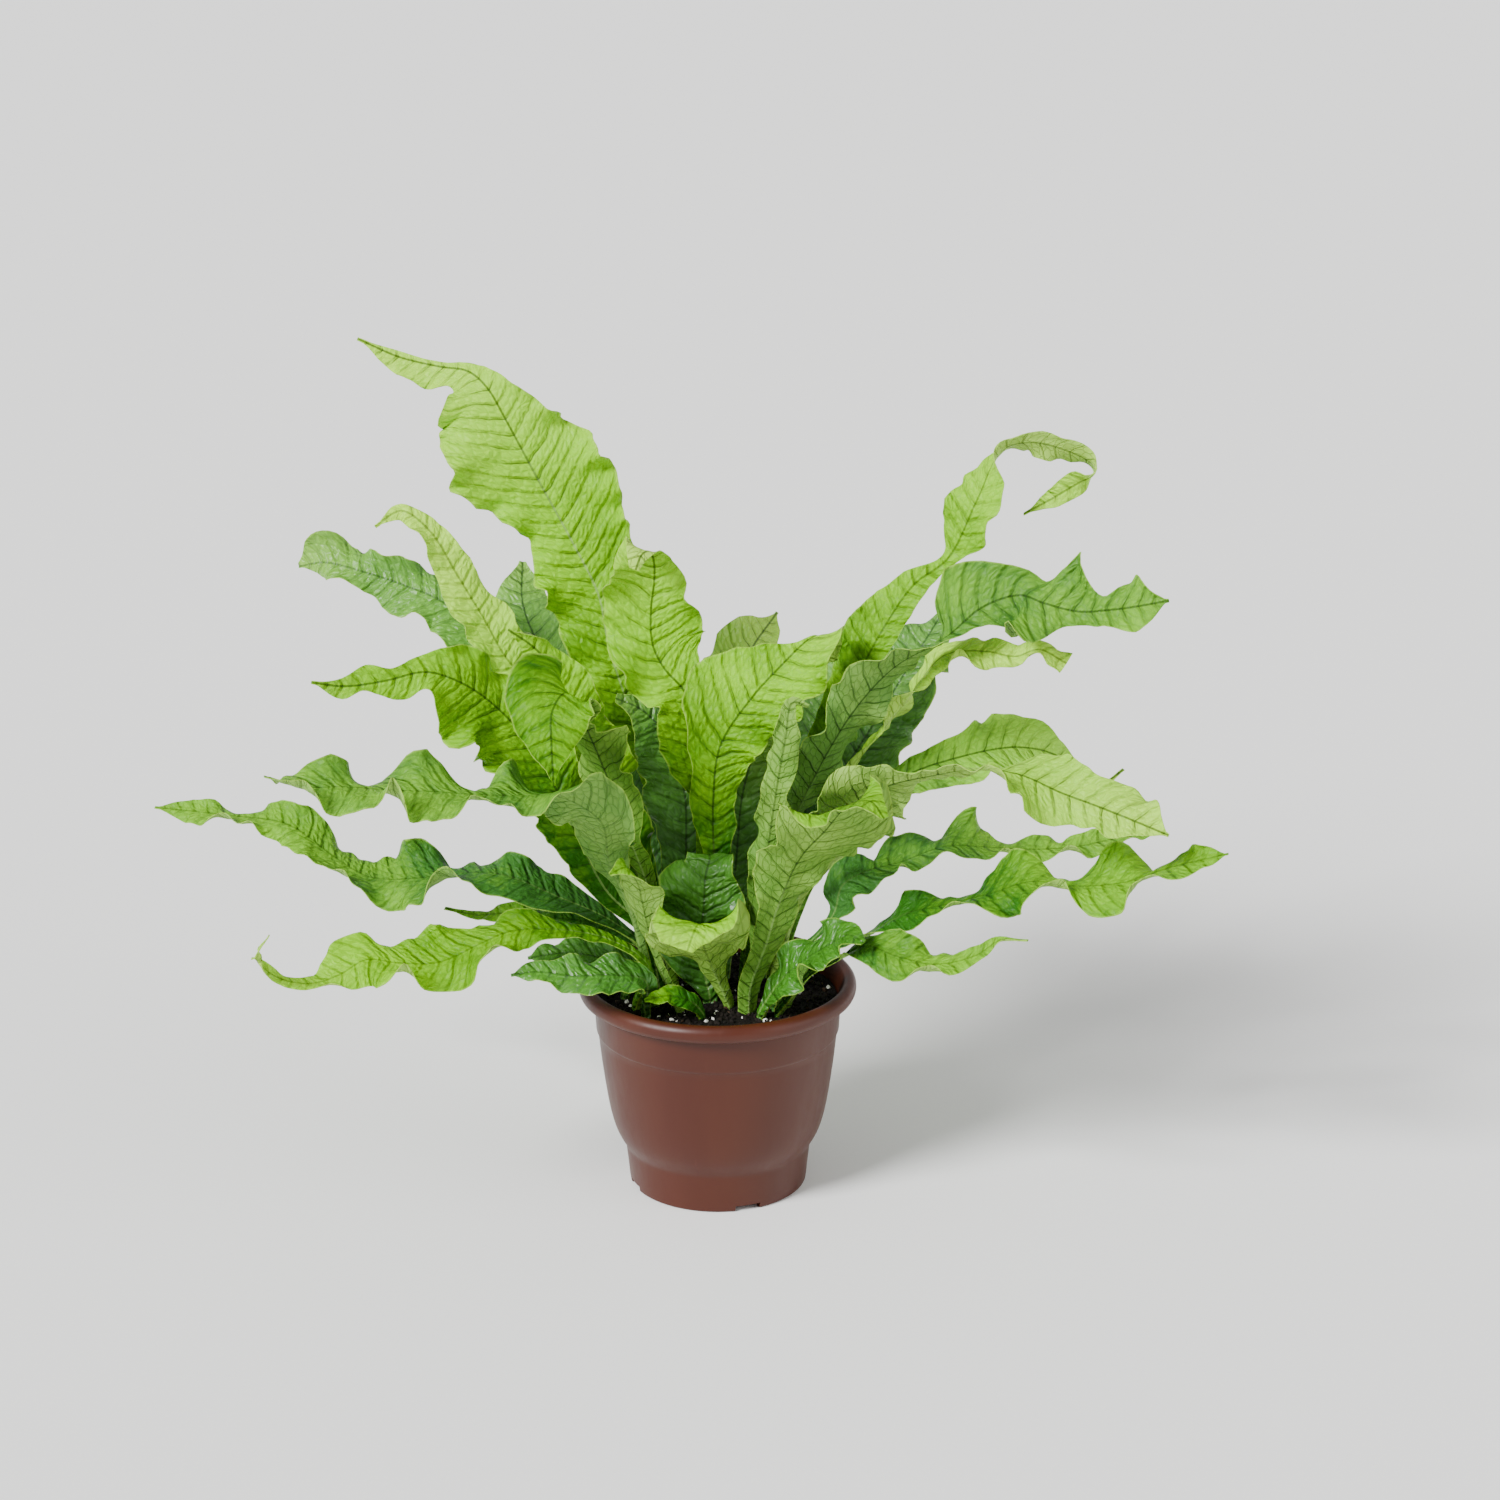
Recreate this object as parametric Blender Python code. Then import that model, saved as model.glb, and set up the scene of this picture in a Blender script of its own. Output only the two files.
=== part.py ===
"""A potted crocodile fern: a tall plastic nursery pot, its compost and thirty-five fronds.

The file is in metres with +Z up. The sizes below are in millimetres and are scaled once, where
each mesh is made. The pot stands on Z = 0 with its axis on Z, and its front looks along -Y.
"""

from collections import namedtuple

import bmesh
import bpy
import numpy as np

for old in list(bpy.data.objects):
    bpy.data.objects.remove(old, do_unlink=True)

MM = 0.001
AROUND = 36

# The pot: a moulded shell with a foot ring, a stacking ledge and a rolled rim
RIM_RADIUS = 75.0
RIM_HEIGHT = 118.0
BODY_TOP_RADIUS = 67.0
LEDGE_HEIGHT = 88.0
LEDGE_RADIUS = 65.8
KINK_HEIGHT = 22.0
KINK_RADIUS = 50.4
FOOT_RADIUS = 48.2
WALL = 1.9
BODY = ((KINK_RADIUS, KINK_HEIGHT), (55.2, 31), (58.5, 42), (62.6, 68), (64.8, LEDGE_HEIGHT))
RIM_UNDER = 108.4
RIM = ((72.2, RIM_UNDER), (74.4, 110.0), (RIM_RADIUS, 112.6), (73.9, 116.2), (70.6, RIM_HEIGHT),
       (68.2, 116.4), (65.2, 107.5))
FLOOR_THICK = 2.2

# Under the floor a ring channel runs between a flat middle and the foot. It drains the floor's
# holes out through four notches in the foot.
PAD_RADIUS = 22.0
CHANNEL_RADIUS = 42.4
CHANNEL_HEIGHT = 2.6
CHANNEL_SLOPE = 0.8
FOOT_CHAMFER = 1.6
NOTCH_RING = 46.0
NOTCH_DEPTH = 12.0
NOTCH_WIDTH = 14.0
NOTCH_HEIGHT = 3.4
FRONT_NOTCH = -70.0
DRAIN_HOLES = 6
DRAIN_RADIUS = 4.5
DRAIN_RING = 33.0
DRAIN_SIDES = 10

# The compost fills the pot to a little under its rim
SOIL_TOP = 106.4
SOIL_WAVE = 0.7
SOIL_RINGS = (46, 24)
SEAT_GAP = 0.35

# The fronds: a blade's thickness, its midrib's least half width, and where a stem's foot ends
BLADE = 0.8
FOLD = 8.0
STEM_HALF = 2.6
TIP_HALF = 0.9
FOOT_Z = 90.0
COLLAR_Z = 103.0
ACROSS = (-1, -0.5, 0, 0.5, 1)
HOLE_SIDES = 8

# A frond's midrib is its run of points in millimetres. Its faces are the ways its upper side
# looks, left and right its half widths, and the turns how far a margin is bent up in degrees,
# all at even steps from its foot to its tip. Its margins also rise and fall in waves.
FIELDS = "name rows waves curl phase midrib faces left right left_turn right_turn"
Frond = namedtuple("Frond", FIELDS, defaults=((0, 0), (0, 0)))

FRONDS = (
    # The tallest, up through the middle and thrown over to the left, its tip turned down
    Frond(
        name="frond_tall_left", rows=25, waves=6, curl=16, phase=(0, 200),
        midrib=((-14, 24, 109), (-22, 31, 173), (-42, 42, 238), (-58, 49, 287), (-64, 57, 315),
                (-78, 63, 343), (-96, 68, 376), (-112, 70, 407), (-122, 74, 424), (-133, 85, 431),
                (-150, 98, 431), (-172, 104, 435), (-194, 104, 445)),
        faces=((0, -1, 0.3),) * 17 + ((0, -1, 0.4), (0.05, -1, 0.5), (0.1, -1, 0.5), (0.1, -1, 0.5)),
        left=(3, 3, 3, 3, 4, 6, 8, 13, 20, 26, 28, 27, 21, 32, 41, 35, 37, 13, 12, 8, 0),
        right=(3, 3, 3, 3, 4, 6, 8, 12, 18, 22, 26, 34, 33, 36, 38, 23, 10, 4, 3, 3, 0)),
    # Beside it, broad, with its tip folded over to the front
    Frond(
        name="frond_centre_left", rows=19, waves=5, curl=20, phase=(0, 90),
        midrib=((-6, 8, 109), (-6, 10, 180), (-4, 11, 220), (-9, 13, 250), (-17, 16, 273),
                (-28, 20, 285), (-34, 23, 297), (-35, 27, 314), (-33, 27, 332), (-33, 22, 343),
                (-35, 12, 351), (-39, 4, 351), (-42, 2, 344)),
        faces=((0, -1, 0.2),) * 9 + ((0.1, -1, 0.4),) * 7 + ((0.1, -1, 0.3), (0.1, -1, 0),
               (0, -0.6, -0.8), (0, 0.4, -1), (0, 1, -0.2)),
        left=(3, 3, 3, 3, 4, 5, 6, 8, 12, 18, 23, 24, 18, 20, 23, 27, 29, 25, 20, 15, 4),
        right=(3, 3, 3, 3, 4, 5, 7, 10, 14, 17, 18, 14, 10, 20, 31, 30, 22, 15, 9, 5, 2)),
    # Up the middle, then over to the right with its end curled in
    Frond(
        name="frond_centre", rows=19, waves=5, curl=20, phase=(40, 180),
        midrib=((3, 1, 109), (-1, 0, 173), (-2, 0, 218), (2, 2, 248), (19, 5, 274), (35, 9, 291),
                (48, 15, 302), (55, 23, 302), (57, 29, 294), (59, 31, 285)),
        faces=((0, -1, 0.2),) * 11 + ((0, -1, 0.4), (0, -1, 0.5), (-0.1, -1, 0.5), (-0.1, -1, 0.6),
               (0, -0.8, 0.7), (0, -0.5, 0.9), (0, 0.2, 1), (0, 0.8, 0.5), (0, 1, 0.2)),
        left=(3, 3, 3, 3, 3, 4, 5, 7, 10, 12, 13, 18, 25, 31, 33, 27, 15, 4, 2, 2, 2),
        right=(3, 3, 3, 3, 4, 5, 7, 10, 13, 13, 15, 16, 22, 24, 26, 26, 27, 24, 18, 11, 5)),
    # The tall narrow one on the right, its tip looped back on itself
    Frond(
        name="frond_tall_right", rows=27, waves=3, curl=12, phase=(0, 120),
        midrib=((14, 16, 109), (20, 19, 160), (44, 23, 216), (71, 32, 269), (90, 38, 304),
                (105, 42, 325), (123, 47, 338), (138, 45, 371), (151, 49, 397), (165, 45, 402),
                (187, 48, 396), (199, 49, 389), (200, 47, 385), (190, 49, 378), (177, 55, 368),
                (164, 64, 358)),
        faces=((-0.4, -1, 0.3),) * 12 + ((-0.5, -1, 0.2), (-0.6, -1, 0.3), (-0.6, -0.6, 0.5),
               (-0.3, 0.4, 1), (0, 0.9, 0.4), (0.4, 0.9, 0.4), (0.9, -0.3, 0.4), (0, -1, 0.4),
               (0, -0.6, 0.8)),
        left=(3, 3, 3, 4, 5, 7, 8, 10, 13, 18, 18, 10, 4, 15, 15, 10, 10, 9, 8, 6, 0),
        right=(3, 3, 3, 4, 4, 5, 6, 8, 10, 10, 10, 8, 4, 16, 15, 8, 8, 8, 8, 5, 0)),
    # The upright one of the left fan, its tip hooked over
    Frond(
        name="frond_left_upright", rows=10, waves=6, curl=30, phase=(0, 120),
        midrib=((-24, 16, 109), (-38, 23, 176), (-57, 28, 220), (-75, 32, 247), (-92, 35, 263),
                (-112, 38, 284), (-126, 45, 307), (-139, 50, 328), (-153, 51, 352), (-168, 55, 362),
                (-183, 60, 352)),
        faces=((0.5, -1, 0.3),) * 4 + ((0.3, -1, 0.5),),
        left=(3, 3, 3, 3, 3, 4, 4, 5, 6, 7, 10, 14, 11, 15, 13, 14, 12, 10, 7, 5, 0),
        right=(3, 3, 3, 3, 3, 4, 4, 5, 6, 8, 11, 17, 18, 14, 15, 13, 11, 8, 6, 4, 0)),
    # The highest long one of the left fan
    Frond(
        name="frond_left_high", rows=21, waves=7, curl=40, phase=(0, 160),
        midrib=((-28, 24, 109), (-42, 34, 166), (-67, 43, 220), (-91, 53, 254), (-112, 63, 272),
                (-132, 74, 287), (-149, 85, 302), (-172, 94, 310), (-197, 102, 316), (-217, 112, 318),
                (-233, 122, 313)),
        faces=((0.5, -1, 0.3),) * 4 + ((0.3, -1, 0.5),),
        left=(3, 3, 3, 3, 3, 4, 6, 10, 14, 18, 21, 20, 19, 16, 19, 14, 17, 12, 10, 8, 0),
        right=(3, 3, 3, 3, 3, 4, 6, 7, 9, 12, 15, 18, 21, 16, 19, 15, 16, 13, 14, 20, 2)),
    # Inside the left fan
    Frond(
        name="frond_left_inner", rows=10, waves=5, curl=24, phase=(0, 120),
        midrib=((-27, 7, 109), (-40, 11, 163), (-57, 8, 204), (-68, 10, 243), (-81, 11, 276),
                (-94, 8, 298), (-109, 4, 311)),
        faces=((0.4, -1, 0.3), (0.4, -1, 0.3)),
        left=(3, 3, 6, 14, 18, 20, 20, 18, 14, 10, 0),
        right=(3, 3, 6, 13, 19, 22, 20, 18, 14, 10, 0)),
    # The middle of the left fan, its long end bent down
    Frond(
        name="frond_left_middle", rows=21, waves=8, curl=36, phase=(0, 160),
        midrib=((-31, -6, 109), (-39, -8, 147), (-59, -9, 170), (-74, -11, 202), (-87, -14, 234),
                (-103, -12, 260), (-118, -14, 277), (-133, -21, 290), (-150, -26, 297),
                (-171, -32, 294), (-191, -38, 293), (-207, -44, 297)),
        faces=((0.4, -1, 0.5), (0.4, -1, 0.5)),
        left=(3, 3, 3, 4, 6, 8, 12, 15, 18, 20, 24, 25, 31, 29, 31, 26, 9, 12, 5, 6, 0),
        right=(3, 3, 3, 3, 4, 6, 8, 11, 14, 16, 18, 19, 21, 19, 22, 17, 10, 6, 9, 4, 0)),
    # Rises on the left and hangs over to the front
    Frond(
        name="frond_left_drooping", rows=19, waves=5, curl=24, phase=(0, 120),
        midrib=((-22, -6, 109), (-33, -4, 160), (-45, -10, 199), (-58, -22, 242), (-69, -36, 275),
                (-77, -50, 293), (-83, -64, 287), (-83, -72, 272), (-82, -76, 252)),
        faces=((0.4, 0.8, 0.4),) * 4 + ((0.2, 0.6, 0.8), (-0.1, -0.3, 1), (-0.1, -0.8, 0.4),
               (0, -1, 0.3)),
        left=(3, 3, 4, 6, 10, 14, 18, 22, 24, 16, 0),
        right=(3, 3, 4, 6, 10, 14, 18, 24, 28, 18, 0)),
    # A long waved ribbon to the left, in front
    Frond(
        name="frond_left_ribbon", rows=29, waves=6, curl=60, phase=(155, 335),
        midrib=((-34, -15, 109), (-44, -19, 160), (-56, -32, 196), (-60, -55, 227), (-80, -65, 243),
                (-102, -72, 245), (-122, -78, 248), (-144, -85, 252), (-166, -92, 255),
                (-184, -101, 260), (-203, -110, 263), (-222, -120, 272)),
        faces=((0.3, 0.6, 0.6), (0.3, 0.6, 0.6), (0.2, 0.6, 0.7), (0, 0.9, 0.5), (0, 0.5, 0.8)) +
               ((0, -0.2, 1),) * 4,
        left=(3, 3, 3, 3, 5, 8, 12, 16, 20, 20, 22, 24, 20, 16, 22, 23, 20, 20, 18, 13, 0),
        right=(3, 3, 3, 3, 5, 8, 12, 16, 20, 20, 24, 26, 22, 16, 22, 23, 20, 20, 18, 13, 0)),
    # The longest to the left, low and waved
    Frond(
        name="frond_left_long", rows=27, waves=4.6, curl=66, phase=(120, -60),
        midrib=((-40, 2, 109), (-38, 0, 131), (-59, 1, 150), (-85, 5, 161), (-114, 9, 172),
                (-133, 16, 171), (-161, 24, 165), (-189, 33, 162), (-209, 42, 170), (-235, 53, 185),
                (-269, 66, 186), (-313, 80, 186)),
        faces=((0, -0.25, 1), (0, -0.25, 1)),
        left=(3, 3, 3, 6, 12, 15, 16, 16, 17, 20, 23, 21, 17, 15, 15, 14, 13, 12, 11, 7, 0),
        right=(3, 3, 3, 6, 12, 15, 16, 16, 17, 20, 23, 21, 17, 15, 15, 14, 13, 12, 11, 7, 0)),
    # Low on the left, its end curled up and back
    Frond(
        name="frond_left_low", rows=27, waves=6, curl=46, phase=(198, 18),
        midrib=((-44, -20, 109), (-37, -30, 135), (-56, -35, 152), (-82, -43, 161), (-108, -51, 163),
                (-124, -57, 158), (-144, -64, 151), (-164, -70, 153), (-181, -76, 157),
                (-193, -83, 152), (-208, -91, 150), (-224, -99, 157), (-232, -108, 171),
                (-224, -118, 187)),
        faces=((0, -0.4, 0.9), (0, -0.4, 0.9)),
        left=(3, 3, 4, 8, 14, 20, 18, 16, 5, 4, 0),
        right=(3, 3, 4, 8, 14, 20, 18, 17, 5, 4, 0)),
    # A thin one low on the left
    Frond(
        name="frond_left_thin", rows=10, waves=4, curl=40, phase=(0, 180),
        midrib=((-38, 12, 109), (-40, 17, 127), (-64, 23, 138), (-94, 28, 141), (-117, 38, 139),
                (-133, 49, 134), (-152, 62, 133)),
        faces=((0, -0.6, 0.8), (0, -0.6, 0.8)),
        left=(2, 2, 4, 6, 7, 7, 7, 6, 4, 2, 0),
        right=(2, 2, 4, 6, 7, 7, 7, 6, 4, 2, 0)),
    # High on the right, its long end pleated
    Frond(
        name="frond_high_right", rows=27, waves=7, curl=26, phase=(90, 250),
        midrib=((20, 4, 109), (26, 1, 172), (47, -5, 225), (70, -7, 268), (93, -8, 295),
                (119, -11, 311), (138, -9, 327), (157, -11, 334), (169, -19, 332), (186, -24, 329),
                (201, -32, 332), (213, -40, 336), (230, -46, 341)),
        faces=((-0.6, 0.9, 0.1),) * 6 + ((-0.6, 0.6, 0.6), (0, -0.9, 0.6), (0.2, -1, 0.4),
               (0, -1, 0.4), (0, -1, 0.5)),
        left=(3, 3, 3, 4, 6, 9, 12, 15, 17, 18, 18, 16, 14, 20, 27, 17, 14, 31, 7, 19, 0),
        right=(3, 3, 3, 4, 6, 9, 13, 16, 18, 18, 18, 16, 12, 7, 8, 20, 25, 8, 10, 13, 0)),
    # A narrow waved one under the high right frond
    Frond(
        name="frond_high_right_small", rows=10, waves=6, curl=50, phase=(0, 180),
        midrib=((28, 12, 109), (39, 11, 174), (71, 12, 231), (100, 11, 270), (120, 7, 296),
                (141, 1, 300), (156, -5, 299), (168, -9, 304), (182, -14, 298)),
        faces=((-0.6, 0.3, 0.6),) * 4 + ((0, -0.5, 0.9), (0, -0.6, 0.8)),
        left=(3, 3, 3, 3, 4, 6, 12, 9, 13, 6, 8),
        right=(3, 3, 3, 3, 4, 6, 12, 9, 13, 6, 8)),
    # Broad at its base, then long and level to the right
    Frond(
        name="frond_front_right_broad", rows=25, waves=4, curl=34, phase=(0, 150),
        midrib=((28, -6, 109), (44, -6, 169), (69, -21, 219), (87, -39, 239), (110, -53, 250),
                (132, -64, 257), (155, -71, 256), (175, -78, 249), (194, -86, 244), (211, -96, 240),
                (227, -106, 236)),
        faces=((-0.3, 0.8, 0.3),) * 5 + ((0, 0.8, 0.6), (0, 0.3, 1), (0, -0.6, 0.9), (0, -0.8, 0.7),
               (0, -0.8, 0.6)),
        left=(3, 3, 3, 4, 6, 14, 26, 34, 34, 24, 16, 10, 9, 10, 14, 18, 19, 15, 18, 18, 0),
        right=(3, 3, 3, 4, 7, 14, 20, 23, 24, 20, 15, 11, 10, 13, 18, 24, 21, 15, 16, 9, 0)),
    # Behind it, level to the right
    Frond(
        name="frond_right_behind", rows=10, waves=4, curl=30, phase=(0, 180),
        midrib=((31, 3, 109), (48, 9, 169), (71, 18, 201), (98, 23, 222), (130, 30, 232),
                (163, 41, 234), (185, 49, 226), (201, 55, 209), (213, 65, 206), (224, 78, 209)),
        faces=((0, -0.8, 0.8), (0, -0.8, 0.8)),
        left=(3, 3, 5, 7, 7, 8, 12, 26, 8, 3, 0),
        right=(3, 3, 5, 7, 10, 14, 17, 17, 8, 4, 0)),
    # Climbs from the soil and runs level to the right
    Frond(
        name="frond_right_middle", rows=29, waves=8, curl=50, phase=(148, 328),
        midrib=((30, -20, 109), (40, -25, 138), (53, -28, 152), (62, -31, 166), (66, -31, 181),
                (78, -26, 187), (97, -14, 188), (121, -9, 195), (142, -4, 193), (169, 3, 189),
                (194, 8, 189), (216, 14, 192), (239, 20, 194)),
        faces=((0, -0.3, 1), (0, -0.3, 1)),
        left=(3, 3, 3, 3, 3, 4, 12, 14, 12, 18, 14, 18, 24, 16, 10, 9, 10, 9, 8, 6, 0),
        right=(3, 3, 3, 3, 3, 6, 18, 14, 9, 9, 10, 10, 10, 12, 10, 9, 9, 8, 7, 5, 0)),
    # The longest to the right, low and tightly waved
    Frond(
        name="frond_right_long", rows=27, waves=5, curl=62, phase=(162, 342),
        midrib=((37, -14, 109), (51, -18, 137), (68, -25, 146), (81, -34, 156), (99, -41, 169),
                (120, -48, 177), (142, -56, 186), (163, -62, 195), (186, -69, 195), (208, -77, 200),
                (231, -85, 211), (259, -94, 222)),
        faces=((0, -0.25, 1), (0, -0.25, 1)),
        left=(3, 3, 3, 3, 4, 5, 7, 13, 12, 8, 12, 20, 20, 13, 14, 22, 22, 14, 13, 9, 0),
        right=(3, 3, 3, 3, 4, 5, 7, 13, 12, 8, 12, 20, 20, 13, 14, 22, 22, 14, 13, 9, 0)),
    # Low on the right, over the rim
    Frond(
        name="frond_right_low", rows=10, waves=3, curl=52, phase=(-90, 90),
        midrib=((32, -29, 109), (50, -38, 135), (67, -49, 149), (79, -59, 158), (93, -68, 156),
                (113, -77, 155), (133, -85, 163), (145, -94, 175), (158, -104, 179)),
        faces=((0, -0.4, 0.9), (0, -0.4, 0.9)),
        left=(2, 2, 3, 4, 9, 14, 14, 11, 5, 3, 0),
        right=(2, 2, 3, 4, 9, 14, 14, 11, 5, 3, 0)),
    # The front right one, its pale underside to the front and its tip bent forward
    Frond(
        name="frond_front_right", rows=17, waves=4, curl=18, phase=(0, 120),
        midrib=((16, -24, 109), (17, -28, 124), (25, -32, 147), (32, -38, 173), (43, -46, 202),
                (56, -56, 221), (67, -70, 239), (79, -84, 246), (85, -92, 240)),
        faces=((-0.3, 1, 0.4),) * 7 + ((-0.3, 0.6, 0.8), (0, -0.2, 1), (0.3, -0.6, 0.6)),
        left=(5, 7, 9, 11, 14, 19, 28, 36, 30, 14, 3),
        right=(5, 6, 7, 9, 14, 20, 26, 28, 26, 18, 3)),
    # A narrow upright one seen from below
    Frond(
        name="frond_narrow_upright", rows=10, waves=4, curl=40, phase=(0, 60),
        midrib=((19, -8, 109), (24, -19, 169), (30, -26, 222), (36, -25, 260), (40, -20, 279),
                (48, -22, 277)),
        faces=((0.4, 1, 0.3), (0.4, 1, 0.3)),
        left=(2, 2, 5, 8, 10, 10, 10, 9, 8, 6, 1),
        right=(2, 2, 5, 8, 10, 10, 10, 9, 8, 6, 1)),
    # In the front, curled forward
    Frond(
        name="frond_front_curl", rows=10, waves=3, curl=30, phase=(0, 120),
        midrib=((6, -16, 109), (-1, -24, 129), (-7, -36, 150), (-9, -50, 167), (-12, -62, 166),
                (-15, -66, 158)),
        faces=((-0.1, 1, 0.3), (-0.1, 1, 0.4), (-0.1, 0.6, 0.9), (-0.1, -0.1, 1), (-0.1, -0.8, 0.7),
               (-0.1, -0.8, 0.5)),
        left=(3, 4, 5, 8, 15, 24, 27, 26, 20, 12, 3),
        right=(3, 4, 5, 8, 14, 22, 26, 26, 26, 23, 14)),
    # Small and folded, in the front on the left
    Frond(
        name="frond_small_folded", rows=10, waves=3, curl=36, phase=(0, 120),
        midrib=((-20, -24, 109), (-33, -29, 144), (-38, -36, 170), (-41, -44, 188), (-47, -52, 199),
                (-55, -57, 197)),
        faces=((0.3, 0.8, 0.5), (0.3, 0.8, 0.5), (0, -0.5, 0.8)),
        left=(2, 2, 2, 2, 3, 7, 12, 12, 11, 7, 1),
        right=(2, 2, 2, 2, 3, 7, 12, 12, 11, 7, 1)),
    # The smallest, at the soil in front
    Frond(
        name="frond_base_small", rows=10, waves=3, curl=40, phase=(0, 160),
        midrib=((-8, -34, 109), (-12, -40, 118), (-24, -44, 124), (-38, -48, 123)),
        faces=((0, -0.7, 0.8), (0, -0.7, 0.8)),
        left=(3, 3, 4, 5, 6, 6, 6, 6, 5, 3, 0),
        right=(3, 3, 4, 5, 6, 6, 6, 6, 5, 3, 0)),
    # Short, over the rim on the right
    Frond(
        name="frond_right_rim", rows=10, waves=3, curl=36, phase=(0, 160),
        midrib=((23, -32, 109), (32, -40, 129), (45, -50, 146), (58, -58, 158), (69, -66, 167),
                (76, -72, 165)),
        faces=((0, -0.5, 0.8), (0, -0.5, 0.8)),
        left=(3, 4, 8, 12, 15, 15, 15, 14, 12, 9, 2),
        right=(3, 4, 8, 12, 15, 15, 15, 14, 12, 9, 2)),
    # Short, over the rim on the left
    Frond(
        name="frond_left_rim", rows=10, waves=4, curl=40, phase=(0, 180),
        midrib=((-38, -30, 109), (-38, -42, 132), (-55, -52, 139), (-75, -58, 141), (-94, -60, 144),
                (-107, -62, 143)),
        faces=((0, -0.6, 0.8), (0, -0.6, 0.8)),
        left=(2, 2, 6, 10, 12, 12, 12, 11, 8, 6, 0),
        right=(2, 2, 6, 10, 12, 12, 12, 11, 8, 6, 0)),
    # Short, over the rim behind it
    Frond(
        name="frond_left_rim_back", rows=10, waves=4, curl=40, phase=(0, 180),
        midrib=((-50, -6, 109), (-44, -10, 126), (-63, -14, 134), (-84, -16, 137), (-101, -18, 135)),
        faces=((0, -0.6, 0.8), (0, -0.6, 0.8)),
        left=(2, 2, 6, 9, 11, 11, 11, 10, 8, 6, 0),
        right=(2, 2, 6, 9, 11, 11, 11, 10, 8, 6, 0)),
    # Left of the crown, leaning out
    Frond(
        name="frond_crown_left", rows=10, waves=4, curl=22, phase=(0, 120),
        midrib=((-15, 15, 109), (-17, 22, 170), (-18, 28, 214), (-26, 31, 241), (-40, 28, 259),
                (-54, 24, 267)),
        faces=((0.1, -1, 0.3),) * 4 + ((0.1, -0.9, 0.5), (0, -0.7, 0.8)),
        left=(3, 5, 9, 12, 15, 18, 22, 24, 20, 12, 3),
        right=(3, 5, 9, 12, 14, 14, 14, 14, 12, 8, 3)),
    # In the crown, at the back
    Frond(
        name="frond_crown_back", rows=10, waves=4, curl=24, phase=(0, 120),
        midrib=((4, 26, 109), (10, 38, 170), (14, 46, 208), (24, 52, 237), (39, 58, 255)),
        faces=((-0.2, -1, 0.3), (-0.2, -1, 0.3)),
        left=(2, 4, 9, 14, 18, 18, 18, 16, 14, 9, 0),
        right=(2, 4, 9, 14, 18, 18, 18, 16, 14, 9, 0)),
    # In the crown, at the front, bent forward
    Frond(
        name="frond_crown_front", rows=10, waves=3, curl=28, phase=(0, 120),
        midrib=((-4, -10, 109), (-9, -13, 138), (-7, -16, 165), (-6, -15, 181), (-4, -11, 188),
                (-4, -5, 189)),
        faces=((0, -1, 0.3),) * 3 + ((0, -0.9, 0.6), (0, -0.3, 1)),
        left=(4, 8, 14, 21, 25, 25, 25, 25, 24, 20, 12),
        right=(4, 8, 11, 15, 19, 20, 21, 21, 20, 15, 10)),
    # Upright at the back, right of the middle
    Frond(
        name="frond_back_right", rows=10, waves=5, curl=26, phase=(0, 160),
        midrib=((18, 33, 109), (34, 57, 163), (54, 90, 222), (72, 122, 253), (94, 158, 283)),
        faces=((-0.4, -1, 0.3), (-0.4, -1, 0.3)),
        left=(2, 2, 6, 12, 17, 19, 19, 18, 15, 10, 0),
        right=(2, 2, 6, 12, 17, 19, 19, 18, 15, 10, 0)),
    # Upright, behind the high right frond
    Frond(
        name="frond_behind_right", rows=10, waves=5, curl=26, phase=(0, 160),
        midrib=((24, 26, 109), (39, 35, 160), (62, 48, 207), (83, 62, 237), (100, 77, 261),
                (114, 95, 278), (127, 114, 293)),
        faces=((-0.5, -1, 0.3), (-0.5, -1, 0.3)),
        left=(3, 3, 8, 19, 26, 27, 27, 24, 22, 14, 0),
        right=(3, 3, 8, 19, 26, 27, 27, 24, 22, 14, 0)),
    # Upright at the back, in the middle
    Frond(
        name="frond_back_centre", rows=10, waves=5, curl=26, phase=(0, 160),
        midrib=((-6, 38, 109), (-5, 59, 168), (0, 92, 221), (15, 128, 257), (33, 166, 274)),
        faces=((0, -1, 0.3), (0, -1, 0.3)),
        left=(3, 3, 8, 18, 24, 27, 27, 26, 22, 14, 0),
        right=(3, 3, 8, 18, 24, 27, 27, 26, 22, 14, 0)),
    # Upright at the back on the left
    Frond(
        name="frond_back_left", rows=10, waves=4, curl=24, phase=(0, 160),
        midrib=((-16, 38, 109), (-39, 57, 169), (-67, 79, 226), (-92, 101, 259), (-109, 126, 288),
                (-111, 154, 307)),
        faces=((0.3, -1, 0.3), (0.3, -1, 0.3)),
        left=(2, 2, 7, 15, 21, 23, 23, 23, 21, 16, 2),
        right=(2, 2, 7, 15, 21, 23, 23, 23, 21, 16, 2)),
)

# The darker fronds of the crown, and the ones with a bluish bloom; the rest are fresh green
DEEP = ("frond_crown_left", "frond_crown_back", "frond_crown_front", "frond_left_rim",
        "frond_left_rim_back", "frond_right_rim", "frond_narrow_upright")
COOL = ("frond_back_right", "frond_behind_right", "frond_back_centre", "frond_back_left",
        "frond_left_high")


def unit(vectors):
    """The vectors at length one."""
    return vectors / np.maximum(np.linalg.norm(vectors, axis=-1, keepdims=True), 1e-9)


def ease(low, high, value):
    """A soft step from 0 at low to 1 at high."""
    share = np.clip((value - low) / (high - low), 0, 1)
    return share * share * (3 - 2 * share)


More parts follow.
